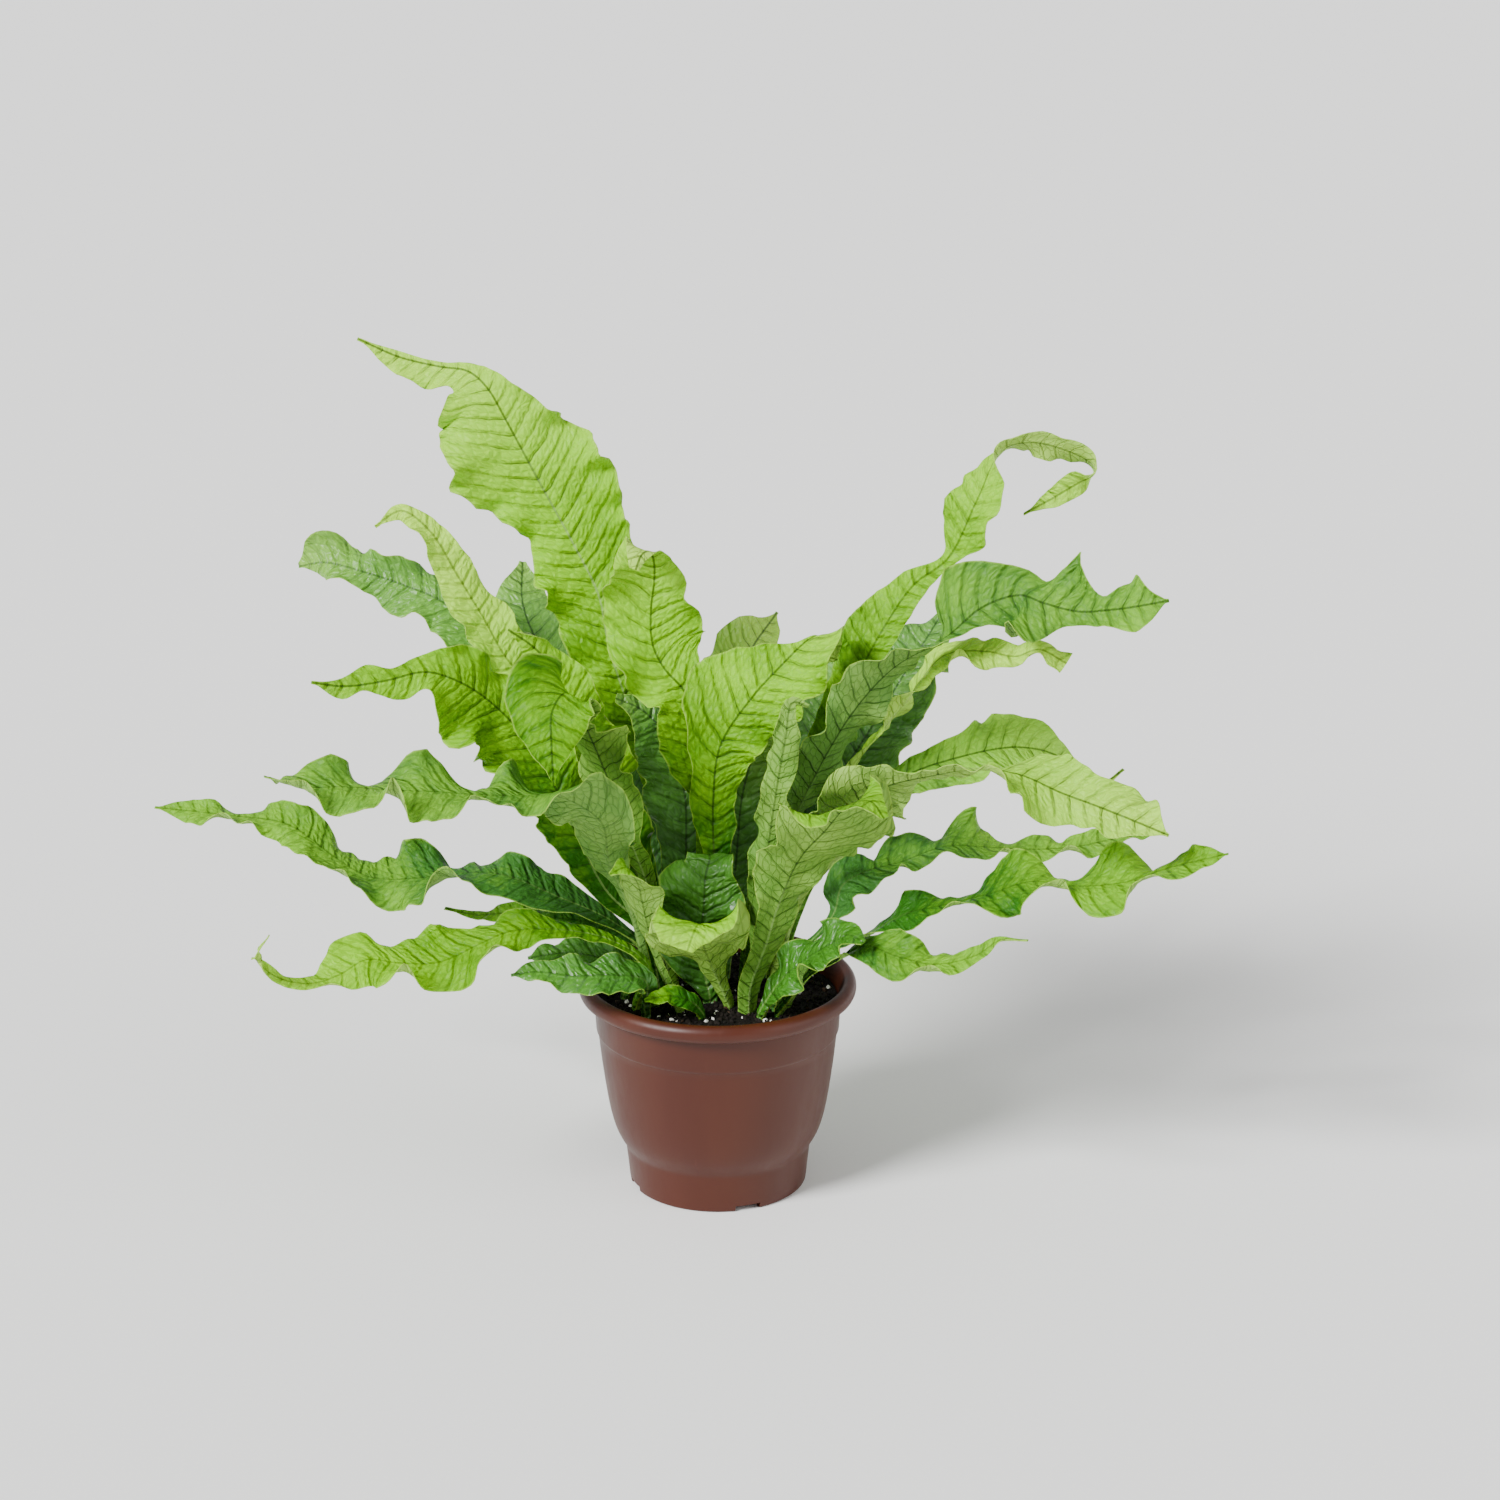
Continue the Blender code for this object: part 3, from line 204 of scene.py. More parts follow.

# A frond's light is partly painted light and shade: raised on some fronds that sit in the crown's shade,
# lowered on some in full light
FRONDS = (
    # The tallest, up through the middle and thrown over to the left, its tip turned down
    Frond(
        "frond_tall_left", waves=6, curl=16, phase=(0, 200), light=1.1, rib_turn=0.66,
        midrib=((-14, 24, 109), (-22, 31, 173), (-42, 42, 238), (-58, 49, 287), (-64, 57, 315),
                (-78, 63, 343), (-96, 68, 376), (-112, 70, 407), (-122, 74, 424), (-133, 85, 431),
                (-150, 98, 431), (-172, 104, 435), (-194, 104, 445)),
        faces=((0, -1, 0.3),) * 17 + ((0, -1, 0.4), (0.05, -1, 0.5), (0.1, -1, 0.5), (0.1, -1, 0.5)),
        left=(3, 3, 3, 3, 4, 6, 8, 13, 20, 26, 28, 27, 21, 32, 41, 35, 37, 13, 12, 8, 0),
        right=(3, 3, 3, 3, 4, 6, 8, 12, 18, 22, 26, 34, 33, 36, 38, 23, 10, 4, 3, 3, 0)),
    # Beside it, broad, with its tip folded over to the front
    Frond(
        "frond_centre_left", waves=5, curl=20, phase=(0, 90), light=0.7,
        midrib=((-6, 8, 109), (-6, 10, 180), (-4, 11, 220), (-9, 13, 250), (-17, 16, 273),
                (-28, 20, 285), (-34, 23, 297), (-35, 27, 314), (-33, 27, 332), (-33, 22, 343),
                (-35, 12, 351), (-39, 4, 351), (-42, 2, 344)),
        faces=((0, -1, 0.2),) * 9 + ((0.1, -1, 0.4),) * 7 + ((0.1, -1, 0.3), (0.1, -1, 0),
               (0, -0.6, -0.8), (0, 0.4, -1), (0, 1, -0.2)),
        left=(3, 3, 3, 3, 4, 5, 6, 8, 12, 18, 23, 24, 18, 20, 23, 27, 29, 25, 20, 15, 4),
        right=(3, 3, 3, 3, 4, 5, 7, 10, 14, 17, 18, 14, 10, 20, 31, 30, 22, 15, 9, 5, 2)),
    # Up the middle, then over to the right with its end curled in
    Frond(
        "frond_centre", waves=5, curl=20, phase=(40, 180), light=0.5,
        midrib=((3, 1, 109), (-1, 0, 173), (-2, 0, 218), (2, 2, 248), (19, 5, 274), (35, 9, 291),
                (48, 15, 302), (55, 23, 302), (57, 29, 294), (59, 31, 285)),
        faces=((0, -1, 0.2),) * 11 + ((0, -1, 0.4), (0, -1, 0.5), (-0.1, -1, 0.5), (-0.1, -1, 0.6),
               (0, -0.8, 0.7), (0, -0.5, 0.9), (0, 0.2, 1), (0, 0.8, 0.5), (0, 1, 0.2)),
        left=(3, 3, 3, 3, 3, 4, 5, 7, 10, 12, 13, 18, 25, 31, 33, 27, 15, 4, 2, 2, 2),
        right=(3, 3, 3, 3, 4, 5, 7, 10, 13, 13, 15, 16, 22, 24, 26, 26, 27, 24, 18, 11, 5)),
    # The tall narrow one on the right, its tip looped back on itself
    Frond(
        "frond_tall_right", waves=3, curl=12, phase=(0, 120), light=1.0, veined=0.6, bloom=0.03,
        midrib=((14, 16, 109), (20, 19, 160), (44, 23, 216), (71, 32, 269), (90, 38, 304),
                (105, 42, 325), (123, 47, 338), (138, 45, 371), (151, 49, 397), (165, 45, 402),
                (187, 48, 396), (199, 49, 389), (200, 47, 385), (190, 49, 378), (177, 55, 368),
                (164, 64, 358)),
        faces=((-0.4, -1, 0.3),) * 12 + ((-0.5, -1, 0.2), (-0.6, -1, 0.3), (-0.6, -0.6, 0.5),
               (-0.3, 0.4, 1), (0, 0.9, 0.4), (0.4, 0.9, 0.4), (0.9, -0.3, 0.4), (0, -1, 0.4),
               (0, -0.6, 0.8)),
        left=(3, 3, 3, 4, 5, 7, 8, 10, 13, 18, 18, 10, 4, 15, 15, 10, 10, 9, 8, 6, 0),
        right=(3, 3, 3, 4, 4, 5, 6, 8, 10, 10, 10, 8, 4, 16, 15, 8, 8, 8, 8, 5, 0)),
    # The upright one of the left fan, its tip hooked over
    Frond(
        "frond_left_upright", waves=6, curl=30, phase=(0, 120), light=1.7, veined=0.45,
        midrib=((-24, 16, 109), (-38, 23, 176), (-57, 28, 220), (-75, 32, 247), (-92, 35, 263),
                (-112, 38, 284), (-126, 45, 307), (-139, 50, 328), (-153, 51, 352), (-168, 55, 362),
                (-183, 60, 352)),
        faces=((0.5, -1, 0.3),) * 4 + ((0.3, -1, 0.5),),
        left=(3, 3, 3, 3, 3, 4, 4, 5, 6, 7, 10, 14, 11, 15, 13, 14, 12, 10, 7, 5, 0),
        right=(3, 3, 3, 3, 3, 4, 4, 5, 6, 8, 11, 17, 18, 14, 15, 13, 11, 8, 6, 4, 0)),
    # The highest long one of the left fan
    Frond(
        "frond_left_high", waves=7, curl=40, phase=(0, 160), tone="cool", light=0.4, veined=0.6,
        midrib=((-28, 24, 109), (-42, 34, 166), (-67, 43, 220), (-91, 53, 254), (-112, 63, 272),
                (-132, 74, 287), (-149, 85, 302), (-172, 94, 310), (-197, 102, 316), (-217, 112, 318),
                (-233, 122, 313)),
        faces=((0.5, -1, 0.3),) * 4 + ((0.3, -1, 0.5),),
        left=(3, 3, 3, 3, 3, 4, 6, 10, 14, 18, 21, 20, 19, 16, 19, 14, 17, 12, 10, 8, 0),
        right=(3, 3, 3, 3, 3, 4, 6, 7, 9, 12, 15, 18, 21, 16, 19, 15, 16, 13, 14, 20, 2)),
    # Inside the left fan
    Frond(
        "frond_left_inner", waves=5, curl=24, phase=(0, 120), light=0.4,
        midrib=((-27, 7, 109), (-40, 11, 163), (-57, 8, 204), (-68, 10, 243), (-81, 11, 276),
                (-94, 8, 298), (-109, 4, 311)),
        faces=((0.4, -1, 0.3), (0.4, -1, 0.3)),
        left=(3, 3, 6, 14, 18, 20, 20, 18, 14, 10, 0),
        right=(3, 3, 6, 13, 19, 22, 20, 18, 14, 10, 0)),
    # The middle of the left fan, its long end bent down
    Frond(
        "frond_left_middle", waves=8, curl=36, phase=(0, 160), light=0.3,
        midrib=((-31, -6, 109), (-39, -8, 147), (-59, -9, 170), (-74, -11, 202), (-87, -14, 234),
                (-103, -12, 260), (-118, -14, 277), (-133, -21, 290), (-150, -26, 297),
                (-171, -32, 294), (-191, -38, 293), (-207, -44, 297)),
        faces=((0.4, -1, 0.5), (0.4, -1, 0.5)),
        left=(3, 3, 3, 4, 6, 8, 12, 15, 18, 20, 24, 25, 31, 29, 31, 26, 9, 12, 5, 6, 0),
        right=(3, 3, 3, 3, 4, 6, 8, 11, 14, 16, 18, 19, 21, 19, 22, 17, 10, 6, 9, 4, 0)),
    # Rises on the left and hangs over to the front
    Frond(
        "frond_left_drooping", waves=5, curl=24, phase=(0, 120), light=-0.5, rib_turn=0.4,
        midrib=((-22, -6, 109), (-33, -4, 160), (-45, -10, 199), (-58, -22, 242), (-69, -36, 275),
                (-77, -50, 293), (-83, -64, 287), (-83, -72, 272), (-82, -76, 252)),
        faces=((0.4, 0.8, 0.4),) * 4 + ((0.2, 0.6, 0.8), (-0.1, -0.3, 1), (-0.1, -0.8, 0.4),
               (0, -1, 0.3)),
        left=(3, 3, 4, 6, 10, 14, 18, 22, 24, 16, 0),
        right=(3, 3, 4, 6, 10, 14, 18, 24, 28, 18, 0)),
    # A long waved ribbon to the left, in front
    Frond(
        "frond_left_ribbon", waves=6, curl=60, phase=(155, 335), light=-0.1, veined=0.25, bloom=0.15,
        midrib=((-34, -15, 109), (-44, -19, 160), (-56, -32, 196), (-60, -55, 227), (-80, -65, 243),
                (-102, -72, 245), (-122, -78, 248), (-144, -85, 252), (-166, -92, 255),
                (-184, -101, 260), (-203, -110, 263), (-222, -120, 272)),
        faces=((0.3, 0.6, 0.6), (0.3, 0.6, 0.6), (0.2, 0.6, 0.7), (0, 0.9, 0.5), (0, 0.5, 0.8)) +
               ((0, -0.2, 1),) * 4,
        left=(3, 3, 3, 3, 5, 8, 12, 16, 20, 20, 22, 24, 20, 16, 22, 23, 20, 20, 18, 13, 0),
        right=(3, 3, 3, 3, 5, 8, 12, 16, 20, 20, 24, 26, 22, 16, 22, 23, 20, 20, 18, 13, 0)),
    # The longest to the left, low and waved
    Frond(
        "frond_left_long", waves=4.6, curl=66, phase=(120, -60), light=0.1, veined=0.25, bloom=0.12,
        midrib=((-40, 2, 109), (-38, 0, 131), (-59, 1, 150), (-85, 5, 161), (-114, 9, 172),
                (-133, 16, 171), (-161, 24, 165), (-189, 33, 162), (-209, 42, 170), (-235, 53, 185),
                (-269, 66, 186), (-313, 80, 186)),
        faces=((0, -0.25, 1), (0, -0.25, 1)),
        left=(3, 3, 3, 6, 12, 15, 16, 16, 17, 20, 23, 21, 17, 15, 15, 14, 13, 12, 11, 7, 0)),
    # Low on the left, its end curled up and back
    Frond(
        "frond_left_low", waves=6, curl=46, phase=(198, 18), light=0.9, veined=0.2,
        midrib=((-44, -20, 109), (-37, -30, 135), (-56, -35, 152), (-82, -43, 161), (-108, -51, 163),
                (-124, -57, 158), (-144, -64, 151), (-164, -70, 153), (-181, -76, 157),
                (-193, -83, 152), (-208, -91, 150), (-224, -99, 157), (-232, -108, 171),
                (-224, -118, 187)),
        faces=((0, -0.4, 0.9), (0, -0.4, 0.9)),
        left=(3, 3, 4, 8, 14, 20, 18, 16, 5, 4, 0),
        right=(3, 3, 4, 8, 14, 20, 18, 17, 5, 4, 0)),
    # A thin one low on the left
    Frond(
        "frond_left_thin", waves=4, curl=40, phase=(0, 180), veined=0.2, bloom=0.1,
        midrib=((-38, 12, 109), (-40, 17, 127), (-64, 23, 138), (-94, 28, 141), (-117, 38, 139),
                (-133, 49, 134), (-152, 62, 133)),
        faces=((0, -0.6, 0.8), (0, -0.6, 0.8)),
        left=(2, 2, 4, 6, 7, 7, 7, 6, 4, 2, 0)),
    # High on the right, its long end pleated
    Frond(
        "frond_high_right", waves=7, curl=26, phase=(90, 250), light=-0.4, bloom=0.15,
        midrib=((20, 4, 109), (26, 1, 172), (47, -5, 225), (70, -7, 268), (93, -8, 295),
                (119, -11, 311), (138, -9, 327), (157, -11, 334), (169, -19, 332), (186, -24, 329),
                (201, -32, 332), (213, -40, 336), (230, -46, 341)),
        faces=((-0.6, 0.9, 0.1),) * 6 + ((-0.6, 0.6, 0.6), (0, -0.9, 0.6), (0.2, -1, 0.4),
               (0, -1, 0.4), (0, -1, 0.5)),
        left=(3, 3, 3, 4, 6, 9, 12, 15, 17, 18, 18, 16, 14, 20, 27, 17, 14, 31, 7, 19, 0),
        right=(3, 3, 3, 4, 6, 9, 13, 16, 18, 18, 18, 16, 12, 7, 8, 20, 25, 8, 10, 13, 0)),
    # A narrow waved one under the high right frond
    Frond(
        "frond_high_right_small", waves=6, curl=50, phase=(0, 180), light=1.7, veined=0.5,
        midrib=((28, 12, 109), (39, 11, 174), (71, 12, 231), (100, 11, 270), (120, 7, 296),
                (141, 1, 300), (156, -5, 299), (168, -9, 304), (182, -14, 298)),
        faces=((-0.6, 0.3, 0.6),) * 4 + ((0, -0.5, 0.9), (0, -0.6, 0.8)),
        left=(3, 3, 3, 3, 4, 6, 12, 9, 13, 6, 8)),
    # Broad at its base, then long and level to the right
    Frond(
        "frond_front_right_broad", waves=4, curl=34, phase=(0, 150), light=1.2, bloom=0.07,
        midrib=((28, -6, 109), (44, -6, 169), (69, -21, 219), (87, -39, 239), (110, -53, 250),
                (132, -64, 257), (155, -71, 256), (175, -78, 249), (194, -86, 244), (211, -96, 240),
                (227, -106, 236)),
        faces=((-0.3, 0.8, 0.3),) * 5 + ((0, 0.8, 0.6), (0, 0.3, 1), (0, -0.6, 0.9), (0, -0.8, 0.7),
               (0, -0.8, 0.6)),
        left=(3, 3, 3, 4, 6, 14, 26, 34, 34, 24, 16, 10, 9, 10, 14, 18, 19, 15, 18, 18, 0),
        right=(3, 3, 3, 4, 7, 14, 20, 23, 24, 20, 15, 11, 10, 13, 18, 24, 21, 15, 16, 9, 0)),
    # Behind it, level to the right
    Frond(
        "frond_right_behind", waves=4, curl=30, phase=(0, 180), light=1.0, bloom=0.18,
        midrib=((31, 3, 109), (48, 9, 169), (71, 18, 201), (98, 23, 222), (130, 30, 232),
                (163, 41, 234), (185, 49, 226), (201, 55, 209), (213, 65, 206), (224, 78, 209)),
        faces=((0, -0.8, 0.8), (0, -0.8, 0.8)),
        left=(3, 3, 5, 7, 7, 8, 12, 26, 8, 3, 0),
        right=(3, 3, 5, 7, 10, 14, 17, 17, 8, 4, 0)),
    # Climbs from the soil and runs level to the right
    Frond(
        "frond_right_middle", waves=8, curl=50, phase=(148, 328), light=0.1, veined=0.3, bloom=0.15,
        midrib=((30, -20, 109), (40, -25, 138), (53, -28, 152), (62, -31, 166), (66, -31, 181),
                (78, -26, 187), (97, -14, 188), (121, -9, 195), (142, -4, 193), (169, 3, 189),
                (194, 8, 189), (216, 14, 192), (239, 20, 194)),
        faces=((0, -0.3, 1), (0, -0.3, 1)),
        left=(3, 3, 3, 3, 3, 4, 12, 14, 12, 18, 14, 18, 24, 16, 10, 9, 10, 9, 8, 6, 0),
        right=(3, 3, 3, 3, 3, 6, 18, 14, 9, 9, 10, 10, 10, 12, 10, 9, 9, 8, 7, 5, 0)),
    # The longest to the right, low and tightly waved
    Frond(
        "frond_right_long", waves=5, curl=62, phase=(162, 342), veined=0.35, bloom=0.05,
        midrib=((37, -14, 109), (51, -18, 137), (68, -25, 146), (81, -34, 156), (99, -41, 169),
                (120, -48, 177), (142, -56, 186), (163, -62, 195), (186, -69, 195), (208, -77, 200),
                (231, -85, 211), (259, -94, 222)),
        faces=((0, -0.25, 1), (0, -0.25, 1)),
        left=(3, 3, 3, 3, 4, 5, 7, 13, 12, 8, 12, 20, 20, 13, 14, 22, 22, 14, 13, 9, 0)),
    # Low on the right, over the rim
    Frond(
        "frond_right_low", waves=3, curl=52, phase=(-90, 90), light=0.3, veined=0.25, bloom=0.1,
        midrib=((32, -29, 109), (50, -38, 135), (67, -49, 149), (79, -59, 158), (93, -68, 156),
                (113, -77, 155), (133, -85, 163), (145, -94, 175), (158, -104, 179)),
        faces=((0, -0.4, 0.9), (0, -0.4, 0.9)),
        left=(2, 2, 3, 4, 9, 14, 14, 11, 5, 3, 0)),
    # The front right one, its pale underside to the front and its tip bent forward
    Frond(
        "frond_front_right", waves=4, curl=18, phase=(0, 120), rib_turn=0.42, bloom=0.03,
        midrib=((16, -24, 109), (17, -28, 124), (25, -32, 147), (32, -38, 173), (43, -46, 202),
                (56, -56, 221), (67, -70, 239), (79, -84, 246), (85, -92, 240)),
        faces=((-0.3, 1, 0.4),) * 7 + ((-0.3, 0.6, 0.8), (0, -0.2, 1), (0.3, -0.6, 0.6)),
        left=(5, 7, 9, 11, 14, 19, 28, 36, 30, 14, 3),
        right=(5, 6, 7, 9, 14, 20, 26, 28, 26, 18, 3)),
    # A narrow upright one seen from below
    Frond(
        "frond_narrow_upright", waves=4, curl=40, phase=(0, 60),
        tone="deep", light=-0.5, veined=0.6, bloom=0.05,
        midrib=((19, -8, 109), (24, -19, 169), (30, -26, 222), (36, -25, 260), (40, -20, 279),
                (48, -22, 277)),
        faces=((0.4, 1, 0.3), (0.4, 1, 0.3)),
        left=(2, 2, 5, 8, 10, 10, 10, 9, 8, 6, 1)),
    # In the front, curled forward
    Frond(
        "frond_front_curl", waves=3, curl=30, phase=(0, 120), light=0.6, veined=0.4,
        midrib=((6, -16, 109), (-1, -24, 129), (-7, -36, 150), (-9, -50, 167), (-12, -62, 166),
                (-15, -66, 158)),
        faces=((-0.1, 1, 0.3), (-0.1, 1, 0.4), (-0.1, 0.6, 0.9), (-0.1, -0.1, 1), (-0.1, -0.8, 0.7),
               (-0.1, -0.8, 0.5)),
        left=(3, 4, 5, 8, 15, 24, 27, 26, 20, 12, 3),
        right=(3, 4, 5, 8, 14, 22, 26, 26, 26, 23, 14)),
    # Small and folded, in the front on the left
    Frond(
        "frond_small_folded", waves=3, curl=36, phase=(0, 120), light=0.1, veined=0.4, bloom=0.05,
        midrib=((-20, -24, 109), (-33, -29, 144), (-38, -36, 170), (-41, -44, 188), (-47, -52, 199),
                (-55, -57, 197)),
        faces=((0.3, 0.8, 0.5), (0.3, 0.8, 0.5), (0, -0.5, 0.8)),
        left=(2, 2, 2, 2, 3, 7, 12, 12, 11, 7, 1)),
    # The smallest, at the soil in front
    Frond(
        "frond_base_small", waves=3, curl=40, phase=(0, 160), light=-0.4, veined=0.3,
        midrib=((-8, -34, 109), (-12, -40, 118), (-24, -44, 124), (-38, -48, 123)),
        faces=((0, -0.7, 0.8), (0, -0.7, 0.8)),
        left=(3, 3, 4, 5, 6, 6, 6, 6, 5, 3, 0)),
    # Short, over the rim on the right
    Frond(
        "frond_right_rim", waves=3, curl=36, phase=(0, 160), tone="deep", light=-1.0, veined=0.3,
        midrib=((23, -32, 109), (32, -40, 129), (45, -50, 146), (58, -58, 158), (69, -66, 167),
                (76, -72, 165)),
        faces=((0, -0.5, 0.8), (0, -0.5, 0.8)),
        left=(3, 4, 8, 12, 15, 15, 15, 14, 12, 9, 2)),
    # Short, over the rim on the left
    Frond(
        "frond_left_rim", waves=4, curl=40, phase=(0, 180),
        tone="deep", light=-0.3, veined=0.3, bloom=0.05,
        midrib=((-38, -30, 109), (-38, -42, 132), (-55, -52, 139), (-75, -58, 141), (-94, -60, 144),
                (-107, -62, 143)),
        faces=((0, -0.6, 0.8), (0, -0.6, 0.8)),
        left=(2, 2, 6, 10, 12, 12, 12, 11, 8, 6, 0)),
    # Short, over the rim behind it
    Frond(
        "frond_left_rim_back", waves=4, curl=40, phase=(0, 180), tone="deep", veined=0.3, bloom=0.1,
        midrib=((-50, -6, 109), (-44, -10, 126), (-63, -14, 134), (-84, -16, 137), (-101, -18, 135)),
        faces=((0, -0.6, 0.8), (0, -0.6, 0.8)),
        left=(2, 2, 6, 9, 11, 11, 11, 10, 8, 6, 0)),
    # Left of the crown, leaning out
    Frond(
        "frond_crown_left", waves=4, curl=22, phase=(0, 120),
        tone="deep", light=0.4, veined=0.6, bloom=0.12,
        midrib=((-15, 15, 109), (-17, 22, 170), (-18, 28, 214), (-26, 31, 241), (-40, 28, 259),
                (-54, 24, 267)),
        faces=((0.1, -1, 0.3),) * 4 + ((0.1, -0.9, 0.5), (0, -0.7, 0.8)),
        left=(3, 5, 9, 12, 15, 18, 22, 24, 20, 12, 3),
        right=(3, 5, 9, 12, 14, 14, 14, 14, 12, 8, 3)),
    # In the crown, at the back
    Frond(
        "frond_crown_back", waves=4, curl=24, phase=(0, 120),
        tone="deep", light=1.2, veined=0.6, bloom=0.2,
        midrib=((4, 26, 109), (10, 38, 170), (14, 46, 208), (24, 52, 237), (39, 58, 255)),
        faces=((-0.2, -1, 0.3), (-0.2, -1, 0.3)),
        left=(2, 4, 9, 14, 18, 18, 18, 16, 14, 9, 0)),
    # In the crown, at the front, bent forward
    Frond(
        "frond_crown_front", waves=3, curl=28, phase=(0, 120),
        tone="deep", light=-0.3, veined=0.5, bloom=0.05,
        midrib=((-4, -10, 109), (-9, -13, 138), (-7, -16, 165), (-6, -15, 181), (-4, -11, 188),
                (-4, -5, 189)),
        faces=((0, -1, 0.3),) * 3 + ((0, -0.9, 0.6), (0, -0.3, 1)),
        left=(4, 8, 14, 21, 25, 25, 25, 25, 24, 20, 12),
        right=(4, 8, 11, 15, 19, 20, 21, 21, 20, 15, 10)),
    # Upright at the back, right of the middle
    Frond(
        "frond_back_right", waves=5, curl=26, phase=(0, 160), tone="cool", light=0.5, bloom=0.1,
        midrib=((18, 33, 109), (34, 57, 163), (54, 90, 222), (72, 122, 253), (94, 158, 283)),
        faces=((-0.4, -1, 0.3), (-0.4, -1, 0.3)),
        left=(2, 2, 6, 12, 17, 19, 19, 18, 15, 10, 0)),
    # Upright, behind the high right frond
    Frond(
        "frond_behind_right", waves=5, curl=26, phase=(0, 160), tone="cool", bloom=0.07,
        midrib=((24, 26, 109), (39, 35, 160), (62, 48, 207), (83, 62, 237), (100, 77, 261),
                (114, 95, 278), (127, 114, 293)),
        faces=((-0.5, -1, 0.3), (-0.5, -1, 0.3)),
        left=(3, 3, 8, 19, 26, 27, 27, 24, 22, 14, 0)),
    # Upright at the back, in the middle
    Frond(
        "frond_back_centre", waves=5, curl=26, phase=(0, 160), tone="cool", light=1.4,
        midrib=((-6, 38, 109), (-5, 59, 168), (0, 92, 221), (15, 128, 257), (33, 166, 274)),
        faces=((0, -1, 0.3), (0, -1, 0.3)),
        left=(3, 3, 8, 18, 24, 27, 27, 26, 22, 14, 0)),
    # Upright at the back on the left
    Frond(
        "frond_back_left", waves=4, curl=24, phase=(0, 160), tone="cool", light=0.4, bloom=0.07,
        midrib=((-16, 38, 109), (-39, 57, 169), (-67, 79, 226), (-92, 101, 259), (-109, 126, 288),
                (-111, 154, 307)),
        faces=((0.3, -1, 0.3), (0.3, -1, 0.3)),
        left=(2, 2, 7, 15, 21, 23, 23, 23, 21, 16, 2)),
)


def linear(code):
    """The linear colour of an sRGB hex value."""
    parts = [int(code[i:i + 2], 16) / 255 for i in (1, 3, 5)]
    return [p / 12.92 if p <= 0.04045 else ((p + 0.055) / 1.055) ** 2.4 for p in parts] + [1.0]


def feed(tree, node, inputs):
    """Sets or links a node's inputs, from the first on, or by name or number.

    A node given as an input stands for its first output in use.
    """
    for name, value in inputs.items() if isinstance(inputs, dict) else enumerate(inputs):
        if isinstance(value, bpy.types.Node):
            value = next(socket for socket in value.outputs if socket.enabled)
        if isinstance(value, bpy.types.NodeSocket):
            tree.links.new(value, node.inputs[name])
        else:
            node.inputs[name].default_value = value


def add(tree, kind, inputs=(), **settings):
    """Adds a node with its settings and inputs."""
    node = tree.nodes.new(kind)
    for name, value in settings.items():
        setattr(node, name, value)
    feed(tree, node, inputs)
    return node


# The shape of a frond, by the same rules as its solid


def unit(vectors):
    """The vectors at length one."""
    return vectors / np.maximum(np.linalg.norm(vectors, axis=-1, keepdims=True), 1e-9)


def ease(low, high, value):
    """A soft step from 0 at low to 1 at high."""
    share = np.clip((value - low) / (high - low), 0, 1)
    return share * share * (3 - 2 * share)


def spread(values, at):
    """Values that stand evenly along a frond, softly joined and read at these shares of it."""
    values = np.asarray(values, float)
    knots = np.linspace(0, 1, len(values))
    i = np.clip(np.searchsorted(knots, at, side="right") - 1, 0, len(values) - 2)
    t = (at - knots[i]) / (knots[i + 1] - knots[i])
    ends = np.concatenate([[values[0]], values, [values[-1]]])
    a, b, c, d = ends[i], ends[i + 1], ends[i + 2], ends[i + 3]
    bend = (2 * a - 5 * b + 4 * c - d) * t ** 2 + (3 * b - a - 3 * c + d) * t ** 3
    return 0.5 * (2 * b + (c - a) * t + bend)


def blend(low, high, k_low, k_high, t):
    """The point at t on the straight run from low, at k_low, to high, at k_high."""
    return ((k_high - t) * low + (t - k_low) * high) / (k_high - k_low)


def curve_through(points, steps=40):
    """A centripetal Catmull-Rom curve through the points, as close points."""
    p = np.asarray(points, float)
    p = np.vstack([2 * p[0] - p[1], p, 2 * p[-1] - p[-2]])
    gaps = np.sqrt(np.linalg.norm(np.diff(p, axis=0), axis=1))
    k = np.concatenate([[0], np.cumsum(gaps)])
    pieces = []
    for i in range(1, len(p) - 2):
        last = i == len(p) - 3
        t = np.linspace(k[i], k[i + 1], steps, endpoint=last)[:, None]
        a1 = blend(p[i - 1], p[i], k[i - 1], k[i], t)
        a2 = blend(p[i], p[i + 1], k[i], k[i + 1], t)
        a3 = blend(p[i + 1], p[i + 2], k[i + 1], k[i + 2], t)
        b1 = blend(a1, a2, k[i - 1], k[i + 1], t)
        b2 = blend(a2, a3, k[i], k[i + 2], t)
        pieces.append(blend(b1, b2, k[i], k[i + 1], t))
    return np.vstack(pieces)


def length_of(curve):
    """The curve's length."""
    return np.linalg.norm(np.diff(curve, axis=0), axis=1).sum()


def along(curve, at):
    """The curve's points at these shares of its length."""
    lengths = np.linalg.norm(np.diff(curve, axis=0), axis=1)
    run = np.concatenate([[0], np.cumsum(lengths)])
    return np.stack([np.interp(at * run[-1], run, curve[:, k]) for k in range(3)], 1)


def bearings(frond, curve, at):
    """Where the midrib is, its left side and its upper side, at each share of the length."""
    reach = 0.012
    ahead = along(curve, np.minimum(at + reach, 1))
    behind = along(curve, np.maximum(at - reach, 0))
    grow = unit(ahead - behind)
    faces = unit(np.asarray(frond.faces, float))
    face = np.stack([spread(faces[:, k], at) for k in range(3)], 1)
    face = unit(face - grow * np.sum(face * grow, 1)[:, None])
    return along(curve, at), np.cross(face, grow), face


